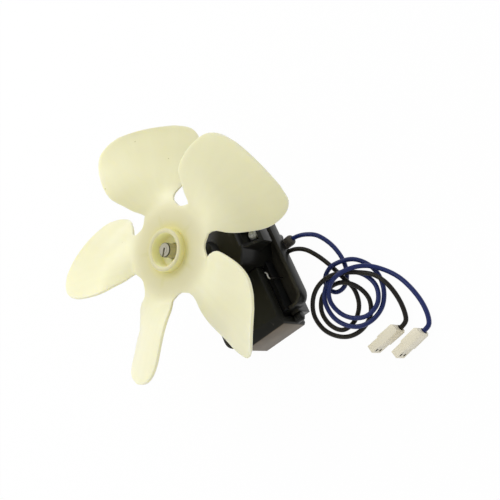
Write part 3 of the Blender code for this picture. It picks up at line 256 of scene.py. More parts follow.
def lay_rib_shadows(pen: Pen, given: Sockets) -> Socket:
    """A painted shadow where the ribs behind the disc show through it, as a soft mask.

    Args:
        pen: Lays the group's nodes.
        given: The group's inputs.

    Returns:
        The mask of the painted rib shadows.
    """
    side_fade, end_fade = (0.6, 1.4), (0.7, 1.0)
    parts, reach = pen.parts(pen.place()), pen.reach()
    turned = pen.math("SUBTRACT", pen.math("ARCTAN2", parts["Y"], parts["X"]), given["Phase"])
    sector = pen.math("DIVIDE", 2 * math.pi, given["Count"])
    turns = pen.math("ADD", pen.math("DIVIDE", turned, sector), 0.5)
    share = pen.math("SUBTRACT", pen.math("FRACT", turns), 0.5)
    away = pen.math("MULTIPLY", pen.math("ABSOLUTE", pen.math("MULTIPLY", share, sector)), reach)
    beside = pen.ease(pen.math("DIVIDE", away, given["Half Width"]), *side_fade, top=0.0, bottom=1.0)
    inside = pen.ease(pen.math("DIVIDE", reach, given["Reach"]), *end_fade, top=0.0, bottom=1.0)
    return pen.math("MULTIPLY", beside, inside)


@dataclass(frozen=True)
class EffectGroup:
    """A node group: its name, its number inputs with their defaults, how it is laid and its output."""

    name: str
    inputs: dict[str, float]
    lay: Callable[[Pen, Sockets], Socket]
    output: str = "Mask"

    def build(self) -> None:
        """Make the group."""
        tree = bpy.data.node_groups.new(self.name, "ShaderNodeTree")
        for label, value in self.inputs.items():
            socket = tree.interface.new_socket(label, in_out="INPUT", socket_type="NodeSocketFloat")
            socket.default_value = value
        tree.interface.new_socket(self.output, in_out="OUTPUT", socket_type="NodeSocketFloat")
        result = self.lay(Pen(tree), tree.nodes.new("NodeGroupInput").outputs)
        tree.links.new(result, tree.nodes.new("NodeGroupOutput").inputs[self.output])


class Effect(Enum):
    """The node groups that several finishes use."""

    GRAIN = EffectGroup("surface_grain", {"Scale": 900.0, "Waviness": 0.35}, lay_grain, "Height")
    MOTTLE = EffectGroup("slow_mottle", {"Scale": 60.0, "Contrast": 1.0}, lay_mottle)
    SPECKS = EffectGroup("rare_specks", {"Scale": 220.0, "Size": 0.06}, lay_specks)
    SCUFFS = EffectGroup("handling_scuffs", {"Scale": 700.0, "Amount": 0.5}, lay_scuffs)
    STREAKS = EffectGroup("flow_streaks", {"Scale": 9.0, "Contrast": 2.0}, lay_streaks)
    # Painted shadow of the ribs behind the fan's disc.
    RIBS = EffectGroup(
        "rib_shadow", {"Phase": 0.0, "Count": 5.0, "Half Width": 0.0008, "Reach": 0.0175}, lay_rib_shadows)


# Finishes

@dataclass(frozen=True)
class Finish:
    """A surface finish: two close colours, gloss, and the grain of the surface."""

    name: str
    colour: Colour
    second_colour: Colour
    roughness: float = 0.4
    metallic: float = 0.0
    specular: float = 0.5
    mottle_scale: float = 60.0
    grain_scale: float = 900.0
    grain_depth: float = 0.00002
    grain_strength: float = 0.25
    speck_colour: Colour | None = None
    subsurface: float = 0.0
    subsurface_radius: Colour = (1.0, 0.9, 0.5)
    subsurface_scale: float = 3.0 * MM

    def build(self) -> bpy.types.Material:
        """Make the material.

        Returns:
            The material.
        """
        made = bpy.data.materials.new(self.name)
        made.use_nodes = True
        pen = Pen(made.node_tree)
        last = pen.blend(self.colour, self.second_colour, pen.effect(Effect.MOTTLE, Scale=self.mottle_scale))
        if self.speck_colour is not None:
            last = pen.blend(last, self.speck_colour, pen.effect(Effect.SPECKS))
        grain = pen.effect(Effect.GRAIN, Scale=self.grain_scale)
        bump = pen.add(
            "Bump", {"Strength": self.grain_strength, "Distance": self.grain_depth, "Height": grain})
        shader = made.node_tree.nodes["Principled BSDF"]
        pen.feed(shader, {
            "Base Color": self.tint(pen, last), "Roughness": self.roughness, "Metallic": self.metallic,
            "Specular IOR Level": self.specular, "Normal": bump.outputs["Normal"]})
        if self.subsurface:
            pen.feed(shader, {
                "Subsurface Weight": self.subsurface, "Subsurface Radius": self.subsurface_radius,
                "Subsurface Scale": self.subsurface_scale})
        return made

    def tint(self, pen: Pen, colour: Socket) -> Socket:
        """Let a finish change its plain colour over the piece; a plain finish leaves it."""
        return colour


@dataclass(frozen=True)
class FanFinish(Finish):
    """The fan's cream plastic, with painted light and shade in rings round the hub: yellower where the hub's
    thick walls gather the light, darker on the disc near it.
    """

    light_and_shade_rings: tuple[tuple[float, Colour], ...] = ()
    light_and_shade_end: float = 26.0 * MM
    light_and_shade_fade: tuple[float, float] = (0.6, 1.0)
    rib_shadow_colour: Colour = (0.7, 0.66, 0.3)
    rib_shadow_phase: float = math.radians(138.9 + 34.0)
    rib_shadow_share: float = 0.35
    rib_shadow_start: tuple[float, float] = (0.35, 0.42)
    streak_colour: Colour = (0.8, 0.77, 0.55)
    streak_share: float = 0.28

    def tint(self, pen: Pen, colour: Socket) -> Socket:
        """Paint light and shade on the hub in rings by the distance from the shaft, and add painted rib
        shadows and flow marks.

        Args:
            pen: Lays the material's nodes.
            colour: The plain colour.

        Returns:
            The colour over the fan.
        """
        streaks = pen.math("MULTIPLY", pen.effect(Effect.STREAKS), self.streak_share)
        blades = pen.blend(colour, self.streak_colour, streaks)
        # Painted light and shade: the hub and the disc near it are coloured in rings by the distance from the
        # shaft, bright in the cup and darker on the disc round the hub.
        share = pen.math("DIVIDE", pen.reach(), self.light_and_shade_end)
        ramp = pen.add("ValToRGB", {"Fac": share})
        marks = ramp.color_ramp.elements
        while len(marks) < len(self.light_and_shade_rings):
            marks.new(0.5)
        for mark, (radius, shade) in zip(marks, self.light_and_shade_rings):
            mark.position = radius * MM / self.light_and_shade_end
            mark.color = (*shade, 1.0)
        whole = pen.blend(ramp.outputs["Color"], blades, pen.ease(share, *self.light_and_shade_fade))
        # Painted shadow of the ribs behind the disc, laid over the hub's colour.
        ribs = pen.math("MULTIPLY", pen.effect(Effect.RIBS, Phase=self.rib_shadow_phase), self.rib_shadow_share)
        shown = pen.math("MULTIPLY", ribs, pen.ease(share, *self.rib_shadow_start))
        return pen.blend(whole, self.rib_shadow_colour, shown)


@dataclass(frozen=True)
class MouldedBlack(Finish):
    """Black moulding with handling scuffs, and painted light on the faces that look one way if there is any.
    """

    scuff_colour: Colour = (0.09, 0.085, 0.075)
    scuffs: float = 0.5
    painted_light_colour: Colour = (0.1, 0.08, 0.05)
    painted_light: float = 0.0
    painted_light_way: Point = (1.0, 0.0, 0.0)
    painted_light_faces: tuple[float, float] = (0.8, 0.99)
    painted_light_scale: float = 160.0
    painted_light_contrast: float = 1.6
    painted_light_least: float = 0.6
    painted_light_patches: float = 0.5

    def tint(self, pen: Pen, colour: Socket) -> Socket:
        """Lay scuffs, and painted light if there is any, over the black.

        Args:
            pen: Lays the material's nodes.
            colour: The plain colour.

        Returns:
            The colour over the piece.
        """
        marked = pen.blend(colour, self.scuff_colour, pen.effect(Effect.SCUFFS, Amount=self.scuffs))
        if not self.painted_light:
            return marked
        # Painted light: faces that look along one way are made lighter in uneven patches.
        normal = pen.add("TexCoord").outputs["Normal"]
        facing = pen.vector("DOT_PRODUCT", {0: normal, 1: self.painted_light_way}, "Value")
        outward = pen.ease(facing, *self.painted_light_faces, top=self.painted_light)
        patches = pen.effect(Effect.MOTTLE, Scale=self.painted_light_scale, Contrast=self.painted_light_contrast)
        uneven = pen.math("MULTIPLY_ADD", patches, self.painted_light_patches, self.painted_light_least)
        return pen.blend(marked, self.painted_light_colour, pen.math("MULTIPLY", outward, uneven, clamp=True))


@dataclass(frozen=True)
class Plug:
    """A connector's place in mm: the middle of its back edge, its heading and its ways' heights."""

    back: Point
    way: tuple[float, float]
    ways: tuple[float, float] = (2.0, 4.9)
    window_reach: float = 12.7
    window_side: float = 1.65
    window: Point = (1.5, 1.4, 1.35)

    @property
    def heading(self) -> float:
        """The way it points, as an angle about Z."""
        return math.atan2(self.way[1], self.way[0])

    def cut_windows(self, housing: Piece) -> None:
        """Cut two openings into a housing's wide side, one over each way near the mouth.

        Args:
            housing: The connector's housing.
        """
        half = Vector(self.window) * MM / 2
        turn = Matrix.Translation(Vector(self.back) * MM) @ Matrix.Rotation(self.heading, 4, "Z")
        for height in self.ways:
            cutter = block(-half, half)
            place = Vector((self.window_reach, self.window_side, height)) * MM
            cutter.data.transform(turn @ Matrix.Translation(place))
            combine(housing, cutter, "DIFFERENCE")
        smooth_by_angle(housing)


@dataclass(frozen=True)
class ConnectorNylon(Finish):
    """Natural nylon with painted shade inside its two ways."""

    colour: Colour = srgb(244, 238, 218)
    second_colour: Colour = srgb(234, 225, 198)
    roughness: float = 0.38
    grain_strength: float = 0.04
    plug: Plug | None = None
    way_reach: float = 1.03 * MM
    side_reach: float = 1.55 * MM
    mouth: float = 14.0 * MM
    back_wall: float = 0.3 * MM
    way_shade_colour: Colour = (0.02, 0.015, 0.008)

    def tint(self, pen: Pen, colour: Socket) -> Socket:
        """Paint shade on the ways' walls behind their mouths.

        Args:
            pen: Lays the material's nodes.
            colour: The plain colour.

        Returns:
            The colour over the connector.
        """
        back = [value * MM for value in self.plug.back]
        inputs = {"Vector": pen.place(), "Location": back, "Rotation": (0.0, 0.0, self.plug.heading)}
        parts = pen.parts(pen.add("Mapping", inputs, vector_type="TEXTURE").outputs["Vector"])
        low, high = (pen.math("COMPARE", parts["Z"], way * MM, self.way_reach) for way in self.plug.ways)
        across = pen.math("COMPARE", parts["Y"], 0.0, self.side_reach)
        deep = pen.math("COMPARE", parts["X"], self.mouth / 2, self.mouth / 2 - self.back_wall)
        # Painted shade inside the two ways, behind their mouths.
        inside = pen.math("MULTIPLY", pen.math("MULTIPLY", across, pen.math("MAXIMUM", low, high)), deep)
        return pen.blend(colour, self.way_shade_colour, inside)


@dataclass(frozen=True)
class Laminated(Finish):
    """Stacked sheet steel: thin dark lines between the sheets."""

    sheet: float = 0.5 * MM
    line_colour: Colour = (0.01, 0.01, 0.01)
    line_limits: tuple[float, float] = (0.25, 0.0)
    line_share: float = 0.8

    def tint(self, pen: Pen, colour: Socket) -> Socket:
        """Draw the lines between the sheets.

        Args:
            pen: Lays the material's nodes.
            colour: The plain colour.

        Returns:
            The colour over the stack.
        """
        inputs = {"Vector": pen.place(), "Scale": math.pi / 10 / self.sheet}
        bands = pen.add("TexWave", inputs, bands_direction="Z").outputs["Fac"]
        return pen.blend(colour, self.line_colour, pen.ease(bands, *self.line_limits, top=self.line_share))


@dataclass(frozen=True)
class WireWithPaintedShade(Finish):
    """Bright wire with painted shade past a distance from the shaft's plane."""

    unshaded_to: float = 14.1 * MM
    fade: float = 0.3 * MM
    painted_shade: Colour = (0.02, 0.018, 0.015)

    def tint(self, pen: Pen, colour: Socket) -> Socket:
        """Paint shade on the outer part."""
        away = pen.math("ABSOLUTE", pen.parts(pen.place())["Y"])
        # Painted shade past the reach where the wire runs into the gap.
        return pen.blend(colour, self.painted_shade, pen.ease(away, self.unshaded_to, self.unshaded_to + self.fade))


@dataclass(frozen=True)
class SleeveSteel(Finish):
    """Steel tube with a ring of painted shade round its front edge."""

    ring_from: float = 2.7 * MM
    ring_fade: float = 0.12 * MM
    ring_above: float = 57.1 * MM
    front_fade: float = 0.2 * MM
    edge_shade_colour: Colour = (0.03, 0.028, 0.02)

    def tint(self, pen: Pen, colour: Socket) -> Socket:
        """Paint shade on the front edge.

        Args:
            pen: Lays the material's nodes.
            colour: The plain colour.

        Returns:
            The colour over the sleeve.
        """
        outer = pen.ease(pen.reach(), self.ring_from, self.ring_from + self.ring_fade)
        front = pen.ease(pen.parts(pen.place())["Z"], self.ring_above, self.ring_above + self.front_fade)
        # Painted shade: a dark ring round the sleeve's outer front edge, where the gap round it is in shade.
        return pen.blend(colour, self.edge_shade_colour, pen.math("MULTIPLY", outer, front))


class Slot(Enum):
    """The record's material slots."""

    FAN = "natural_plastic"
    BLACK = "black_plastic"
    ZINC = "zinc_steel"
    SHAFT = "shaft_steel"
    CORE = "core_steel"
    CAGE = "cast_aluminium"
    BRONZE = "sintered_bronze"
    COPPER = "copper"
    FELT = "felt"
    BOBBIN = "bobbin_nylon"
    TAPE = "winding_tape"
    BLUE = "blue_pvc"
    DARK = "black_pvc"
    NYLON = "white_nylon"
    TERMINAL = "tinned_brass"


BLACK, DEEP_BLACK = srgb(27, 27, 24), srgb(22, 22, 20)
FINISHES: dict[Slot, Finish] = {
    Slot.FAN: FanFinish(
        "cream_fan_plastic", srgb(247, 242, 208), srgb(243, 238, 203), roughness=0.36, mottle_scale=25.0,
        grain_scale=500.0, grain_strength=0.12, speck_colour=srgb(206, 199, 156), subsurface=0.6,
        rib_shadow_colour=srgb(206, 202, 140), streak_colour=srgb(234, 228, 190),
        # Painted light and shade in rings round the hub: radius in mm and colour.
        light_and_shade_rings=(
            (0.0, srgb(255, 248, 188)), (6.9, srgb(255, 248, 188)), (7.2, srgb(216, 211, 174)),
            (8.7, srgb(210, 205, 166)), (8.95, srgb(234, 228, 160)), (10.5, srgb(214, 208, 152)),
            (13.0, srgb(213, 208, 168)), (19.0, srgb(221, 216, 181)), (26.0, srgb(238, 233, 197)))),
    Slot.BLACK: MouldedBlack(
        "black_moulding", DEEP_BLACK, BLACK, roughness=0.3, specular=0.28, grain_scale=1800.0,
        grain_strength=0.3),
    Slot.ZINC: Finish("zinc_plate", srgb(238, 240, 238), srgb(216, 218, 214), roughness=0.3, metallic=0.4),
    Slot.SHAFT: Finish(
        "oiled_steel", srgb(186, 182, 166), srgb(170, 165, 146), roughness=0.42, metallic=0.45),
    Slot.CORE: Laminated(
        "core_laminations", srgb(70, 70, 72), srgb(56, 56, 58), roughness=0.5, metallic=0.8),
    Slot.CAGE: Finish("cast_cage", srgb(176, 176, 178), srgb(158, 158, 160), roughness=0.45, metallic=1.0),
    Slot.BRONZE: Finish(
        "sintered_bronze", srgb(150, 112, 66), srgb(128, 94, 54), roughness=0.55, metallic=0.9),
    Slot.COPPER: Finish("copper_wire", srgb(198, 118, 78), srgb(182, 104, 66), roughness=0.3, metallic=1.0),
    Slot.FELT: Finish(
        "oil_felt", srgb(206, 200, 180), srgb(188, 182, 160), roughness=0.95, grain_strength=0.8),
    Slot.BOBBIN: Finish("bobbin_nylon", srgb(214, 208, 190), srgb(204, 198, 178), roughness=0.5),
    Slot.TAPE: Finish("winding_tape", srgb(40, 37, 34), srgb(52, 48, 44), roughness=0.6),
    Slot.BLUE: Finish(
        "blue_insulation", srgb(26, 42, 104), srgb(22, 36, 92), roughness=0.38, specular=0.35,
        mottle_scale=150.0, grain_scale=700.0),
    Slot.DARK: Finish(
        "black_insulation", srgb(26, 23, 20), srgb(33, 29, 25), roughness=0.42, specular=0.3,
        mottle_scale=150.0, grain_scale=700.0),
    Slot.NYLON: Finish(
        "white_nylon", srgb(246, 240, 221), srgb(240, 233, 211), roughness=0.4, subsurface=0.2),
    Slot.TERMINAL: Finish(
        "tinned_brass", srgb(204, 196, 168), srgb(186, 176, 146), roughness=0.32, metallic=1.0),
}


# Finishes for single pieces that differ from the rest of their slot
# Painted light on the coil cover's faces that look along +X, its end that faces the light.
COVER_WITH_PAINTED_LIGHT = MouldedBlack(
    "black_moulding_with_painted_light", srgb(27, 27, 23), srgb(33, 33, 28), roughness=0.38, specular=0.18,
    grain_scale=1500.0, grain_strength=0.4, scuffs=0.8, painted_light=0.75, painted_light_colour=srgb(120, 105, 83))
# Painted light on the rear moulding's faces that look along +Z, lightening the tray's shaded floor and rim.
TRAY_BLACK = MouldedBlack(
    "tray_black_moulding", DEEP_BLACK, BLACK, roughness=0.3, specular=0.27, grain_scale=1800.0,
    grain_strength=0.3, scuffs=0.7, painted_light=0.8, painted_light_way=(0.0, 0.0, 1.0), painted_light_colour=srgb(58, 56, 50))
LEAD_RUBBER = MouldedBlack(
    "lead_rubber", srgb(62, 58, 52), srgb(72, 67, 60), roughness=0.5, specular=0.35,
    grain_scale=1300.0, grain_strength=0.4, scuffs=0.4)
# Spring wire: bright, with painted shade on its outer part.
SPRING_WIRE = WireWithPaintedShade(
    "spring_wire", srgb(240, 240, 234), srgb(226, 226, 220), roughness=0.3, metallic=0.5)
SLEEVE_STEEL = SleeveSteel(
    "sleeve_steel", srgb(180, 176, 158), srgb(164, 159, 138), roughness=0.42, metallic=0.45)


class Wardrobe:
    """Every material, made once and put on pieces by slot."""

    def __init__(self) -> None:
        """Build the shared groups."""
        self.materials: dict[str, bpy.types.Material] = {}
        for effect in Effect:
            effect.value.build()

    def material(self, finish: Finish) -> bpy.types.Material:
        """The material of a finish, made the first time that it is asked for.

        Args:
            finish: The finish.

        Returns:
            Its material.
        """
        if finish.name not in self.materials:
            self.materials[finish.name] = finish.build()
        return self.materials[finish.name]

    def present(
            self, piece: Piece, place: Slot, body: Body, stands_for: str | None = None,
            special: Finish | None = None) -> Piece:
        """Give a new piece its finish and its body, and hide the node that it stands for.

        Args:
            piece: The piece.
            place: The record's slot.
            body: The body that it rides on.
            stands_for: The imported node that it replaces, if any.
            special: A finish of its own, where it differs from its slot's.

        Returns:
            The piece.
        """
        piece.data.materials.clear()
        piece.data.materials.append(self.material(special or FINISHES[place]))
        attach(piece, body.value)
        if stands_for is not None:
            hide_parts(stands_for)
        return piece

    def dress_frame(self) -> None:
        """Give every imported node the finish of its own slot."""
        slots = {part["node"]: part["material_slot"] for part in frame["record"]["subparts"]}
        for name, packed in frame["nodes"].items():
            for holder in packed.material_slots:
                holder.material = self.material(FINISHES[Slot(slots[name])])


# Modelling helpers

def select_only(*pieces: Piece) -> None:
    """Select these objects and nothing else, with the first one active.

    Args:
        pieces: The objects.
    """
    bpy.ops.object.select_all(action="DESELECT")
    for piece in pieces:
        piece.select_set(True)
    bpy.context.view_layer.objects.active = pieces[0]


def added(operator: Callable, **settings: object) -> Piece:
    """Deselect everything, run an operator that adds a piece, and return the piece.

    Args:
        operator: The operator.
        settings: Its settings.

    Returns:
        The new piece.
    """
    bpy.ops.object.select_all(action="DESELECT")
    operator(**settings)
    return bpy.context.view_layer.objects.active


def twin(piece: Piece) -> Piece:
    """A copy of a piece.

    Args:
        piece: The piece to copy.

    Returns:
        The copy.
    """
    select_only(piece)
    bpy.ops.object.duplicate()
    return bpy.context.view_layer.objects.active


def placed(name: str, data: bpy.types.ID) -> Piece:
    """An object made of this data, put in the scene.

    Args:
        name: The object's name.
        data: Its curve, camera or lamp.

    Returns:
        The object.
    """
    made = bpy.data.objects.new(name, data)
    bpy.context.scene.collection.objects.link(made)
    return made


def apply_modifier(piece: Piece, name: str, kind: str, **settings: object) -> None:
    """Add a modifier, set it and apply it.

    Args:
        piece: The piece that it shapes.
        name: The modifier's name.
        kind: The modifier's type.
        settings: Its properties.
    """
    select_only(piece)
    modifier = piece.modifiers.new(name, kind)
    for label, value in settings.items():
        setattr(modifier, label, value)
    bpy.ops.object.modifier_apply(modifier=name)


def combine(piece: Piece, other: Piece, operation: str) -> None:
    """Join another solid to a piece or cut it out of the piece, and drop the other."""
    apply_modifier(piece, "combined", "BOOLEAN", operation=operation, solver="EXACT", object=other)
    bpy.data.objects.remove(other, do_unlink=True)


def tidy_mesh(
        piece: Piece, distance: float = MERGE_DISTANCE, flat_angle: float | None = None,
        outward: bool = False) -> None:
    """Merge a mesh's doubles and, if asked, its flat faces.

    Args:
        piece: The mesh object.
        distance: The merge distance.
        flat_angle: Faces that meet flatter than this are joined.
        outward: Whether all faces are turned to look outwards.
    """
    select_only(piece)
    bpy.ops.object.mode_set(mode="EDIT")
    bpy.ops.mesh.select_all(action="SELECT")
    bpy.ops.mesh.remove_doubles(threshold=distance)
    if flat_angle is not None:
        bpy.ops.mesh.dissolve_limited(angle_limit=flat_angle)
    if outward:
        bpy.ops.mesh.normals_make_consistent(inside=False)
    bpy.ops.object.mode_set(mode="OBJECT")


def smooth_by_angle(piece: Piece, degrees: float = 40.0) -> None:
    """Shade a piece smooth except over sharp corners."""
    select_only(piece)
    bpy.ops.object.shade_smooth_by_angle(angle=math.radians(degrees))


def block(low: Vector, high: Vector) -> Piece:
    """A box between two corners.

    Args:
        low: The lowest corner, in metres.
        high: The highest corner, in metres.

    Returns:
        The box.
    """
    piece = added(bpy.ops.mesh.primitive_cube_add, size=1.0)
    for corner in piece.data.vertices:
        corner.co = [top if value > 0 else bottom for value, bottom, top in zip(corner.co, low, high)]
    return piece


def spun(name: str, profile: Profile, steps: int, unit: float = MM) -> Piece:
    """Spin a closed profile round the Z axis.

    Args:
        name: The piece's name.
        profile: The outline as radius and height.
        steps: Sides of the turned piece.
        unit: The profile's unit in metres.

    Returns:
        The closed piece.
    """
    piece = added(bpy.ops.mesh.primitive_circle_add, vertices=len(profile), fill_type="NOTHING")
    piece.name = name
    for corner, (radius, height) in zip(piece.data.vertices, profile):
        corner.co = (radius * unit, 0.0, height * unit)
    bpy.ops.object.mode_set(mode="EDIT")
    bpy.ops.mesh.select_all(action="SELECT")
    bpy.ops.mesh.spin(steps=steps, angle=2 * math.pi, center=(0, 0, 0), axis=(0, 0, 1))
    bpy.ops.object.mode_set(mode="OBJECT")
    tidy_mesh(piece, outward=True)
    return piece


def polar(radius: float, angle: float, height: float) -> Vector:
    """The point at a distance from the shaft's axis, an angle about it and a height."""
    return Vector((radius * math.cos(angle), radius * math.sin(angle), height))


def smooth_line(knots: list[Vector], steps: int = 24) -> list[Vector]:
    """A dense line through the knots on a centripetal curve.

    Args:
        knots: The points that the line passes through.
        steps: How many points lie on it from one knot to the next.

    Returns:
        The dense line.
    """
    ends = [2 * knots[0] - knots[1]] + knots + [2 * knots[-1] - knots[-2]]
    dense = []
    for p0, p1, p2, p3 in zip(ends, ends[1:], ends[2:], ends[3:]):
        t0 = 0.0
        t1 = t0 + math.sqrt((p1 - p0).length)
        t2 = t1 + math.sqrt((p2 - p1).length)
        t3 = t2 + math.sqrt((p3 - p2).length)

        def between(first: Vector, second: Vector, start: float, end: float, t: float) -> Vector:
            """The point at t on the line that meets two points at start and end."""
            return first * ((end - t) / (end - start)) + second * ((t - start) / (end - start))

        for step in range(steps):
            t = t1 + (t2 - t1) * step / steps
            a1, a2, a3 = between(p0, p1, t0, t1, t), between(p1, p2, t1, t2, t), between(p2, p3, t2, t3, t)
            b1, b2 = between(a1, a2, t0, t2, t), between(a2, a3, t1, t3, t)
            dense.append(between(b1, b2, t1, t2, t))
    dense.append(ends[-2])
    return dense


def even_points(dense: list[Vector], count: int) -> list[Vector]:
    """Read evenly spaced points from a dense line, both ends among them.

    Args:
        dense: The dense line.
        count: How many points to read.

    Returns:
        The evenly spaced points.
    """
    reach = [0.0]
    for before, after in zip(dense, dense[1:]):
        reach.append(reach[-1] + (after - before).length)
    picked, index = [], 0
    for sample in range(count):
        wanted = reach[-1] * sample / (count - 1)
        while index < len(reach) - 2 and reach[index + 1] < wanted:
            index += 1
        share = (wanted - reach[index]) / (reach[index + 1] - reach[index])
        picked.append(dense[index].lerp(dense[index + 1], min(share, 1.0)))
    return picked


def tube(name: str, points: list[Vector], radius: float, resolution: int) -> Piece:
    """A round wire along a line, as a curve.

    Args:
        name: The piece's name.
        points: The line.
        radius: The wire's radius.
        resolution: How finely its section is rounded.

    Returns:
        The curve piece.
    """
    data = bpy.data.curves.new(name, "CURVE")
    data.dimensions = "3D"
    data.bevel_depth = radius
    data.bevel_resolution = resolution
    data.use_fill_caps = True
    spline = data.splines.new("POLY")
    spline.points.add(len(points) - 1)
    for target, point in zip(spline.points, points):
        target.co = (*point, 1.0)
    spline.use_smooth = True
    return placed(name, data)


@dataclass
class RoundedCopy:
    """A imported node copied, merged and given small round edges."""

    source: str
    name: str
    slot: Slot
    edge: float = 0.25 * MM
    special: Finish | None = None
    segments: int = 2
    edge_angle: float = math.radians(38.0)
    merge_distance: float = 0.002 * MM
    flat_angle: float = math.radians(1.0)

    def build(self, wardrobe: Wardrobe) -> Piece:
        """Make the copy and hide the node it stands for.

        Args:
            wardrobe: The finishes.

        Returns:
            The copy.
        """
        piece = twin(frame["nodes"][self.source])
        for key in list(piece.keys()):
            del piece[key]
        piece.parent = None
        piece.name = self.name
        piece.data.name = self.name
        tidy_mesh(piece, self.merge_distance, self.flat_angle)
        apply_modifier(
            piece, "round_edges", "BEVEL", width=self.edge, segments=self.segments, limit_method="ANGLE",
            angle_limit=self.edge_angle, use_clamp_overlap=True, harden_normals=False)
        smooth_by_angle(piece)
        return wardrobe.present(piece, self.slot, Body.MOTOR, self.source, self.special)


# Fan

@dataclass
class Fan:
    """The moulded fan: a disc and five twisted blades, a cup-shaped hub and its ribs.

    An edge of a blade is a line of radius in mm, angle in degrees and height over the disc in mm.
    """

    blades: int = 5
    set_angle: float = math.radians(138.9)
    thickness: float = 1.2 * MM
    rim_round: float = 0.35 * MM
    rim_steps: int = 3
    rim_angle: float = math.radians(60.0)
    merge_distance: float = 0.01 * MM
    smooth_below: float = 50.0
    disc_height: float = 54.5 * MM
    notch_dip: float = 2.2 * MM
    camber: float = 0.39
    root_radius: float = 8.2 * MM
    blade_rows: int = 26
    blade_strips: int = 20
    notch_strips: int = 16
    disc_rows: int = 6
    hub_radius: float = 9.1 * MM
    hub_wall: float = 2.3 * MM
    hub_front: float = 58.1 * MM
    hub_back: float = 47.0 * MM
    hub_lip: float = 0.6 * MM
    hub_sides: int = 96
    cup_floor: float = 52.0 * MM
    cup_floor_thickness: float = 1.6 * MM
    boss_radius: float = 5.0 * MM
    boss_back: float = 42.2 * MM
    bore_radius: float = 3.3 * MM
    bore_edge: float = 0.2 * MM
    rib_reach: float = 17.5 * MM
    rib_rise: float = 1.0 * MM
    rib_thickness: float = 1.2 * MM
    rib_edge: float = 0.25 * MM
    rib_angle: float = math.radians(34.0)
    leading: tuple[Point, ...] = (
        (21.0, 54.2, 0.1), (22.8, 55.4, 1.2), (25.0, 57.8, 3.3), (28.5, 58.9, 6.2), (33.7, 60.0, 10.0),
        (40.5, 57.2, 11.4), (47.0, 53.6, 11.3), (51.6, 49.6, 10.8), (54.0, 44.2, 9.2), (55.0, 38.5, 6.8))
    trailing: tuple[Point, ...] = (
        (21.0, 8.2, -0.4), (22.4, 9.8, -0.9), (24.4, 9.3, -1.8), (28.0, 5.8, -4.2), (32.6, 4.3, -7.2),
        (41.0, 5.0, -13.1), (47.0, 7.2, -14.0), (51.2, 9.8, -13.8), (53.8, 12.6, -12.2), (55.0, 18.0, -7.8))

    def edge_points(self, edge: tuple[Point, ...]) -> list[Vector]:
        """Evenly spaced points on a blade's edge, in metres with the disc at height 0."""
        knots = [polar(radius * MM, math.radians(angle), height * MM) for radius, angle, height in edge]
        return even_points(smooth_line(knots), self.blade_rows)

    def blade_point(self, lead: Vector, trail: Vector, across: float) -> Point:
        """A point between the trailing and the leading edge.

        Args:
            lead: The point on the leading edge.
            trail: The point on the trailing edge.
            across: How far across it lies, 0 at the trailing edge and 1 at the leading edge.

        Returns:
            The radius, angle and height.
        """
        bow = across + self.camber * across * (1 - across)
        lead_angle, trail_angle = math.atan2(lead.y, lead.x), math.atan2(trail.y, trail.x)
        return (
            trail.xy.length + (lead.xy.length - trail.xy.length) * across,
            trail_angle + (lead_angle - trail_angle) * across,
            trail.z + (lead.z - trail.z) * bow)

    def sheet_of(self, name: str, points: list[list[Point]]) -> Piece:
        """A sheet through rows of points.

        Args:
            name: The sheet's name.
            points: Rows of radius, angle and height over the disc.

        Returns:
            The open sheet.
        """
        width = len(points[0])
        sides = {"x_subdivisions": width - 1, "y_subdivisions": len(points) - 1}
        piece = added(bpy.ops.mesh.primitive_grid_add, size=1.0, **sides)
        piece.name = name
        for index, corner in enumerate(piece.data.vertices):
            radius, angle, height = points[index // width][index % width]
            corner.co = polar(radius, self.set_angle + angle, self.disc_height + height)
        return piece

    def blade_sector(self) -> Piece:
        """One fifth of the sheet, open: its share of the disc, one blade and one notch.

        Returns:
            The open sheet.
        """
        lead, trail = self.edge_points(self.leading), self.edge_points(self.trailing)
        strips = [strip / self.blade_strips for strip in range(self.blade_strips + 1)]
        outer = [[self.blade_point(a, b, s) for s in strips] for a, b in zip(lead, trail)]
        sector = 2 * math.pi / self.blades
        start, end = outer[0][-1], outer[0][0]
        shares = [strip / self.notch_strips for strip in range(self.notch_strips + 1)]
        notch = [(
            start[0] - self.notch_dip * math.sin(math.pi * share),
            start[1] + (end[1] + sector - start[1]) * share,
            start[2] + (end[2] - start[2]) * share) for share in shares]
        blade = self.sheet_of("blade_sheet", self.disc_rows_to(outer[0]) + outer[1:])
        select_only(blade, self.sheet_of("notch_sheet", self.disc_rows_to(notch)))
        bpy.ops.object.join()
        return blade

    def disc_rows_to(self, rim: list[Point]) -> list[list[Point]]:
        """Rows of points from the hub out to a rim.

        Args:
            rim: The points along the rim.

        Returns:
            The rows, the innermost first.
        """
        shares = [row / self.disc_rows for row in range(self.disc_rows + 1)]
        return [[
            (self.root_radius + (radius - self.root_radius) * share, angle, height * share ** 3)
            for radius, angle, height in rim] for share in shares]

    def build_sheet(self) -> Piece:
        """The disc and all blades as one closed wall with round edges.

        Returns:
            The closed wall.
        """
        sector = self.blade_sector()
        copies = [sector]
        for blade in range(1, self.blades):
            copy = twin(sector)
            copy.data.transform(Matrix.Rotation(2 * math.pi / self.blades * blade, 4, "Z"))
            copies.append(copy)
        select_only(*copies)
        bpy.ops.object.join()
        tidy_mesh(sector, self.merge_distance, outward=True)
        apply_modifier(
            sector, "wall", "SOLIDIFY", thickness=self.thickness, offset=0.0, use_even_offset=True)
        apply_modifier(
            sector, "round_rim", "BEVEL", width=self.rim_round, segments=self.rim_steps, limit_method="ANGLE",
            angle_limit=self.rim_angle)
        return sector

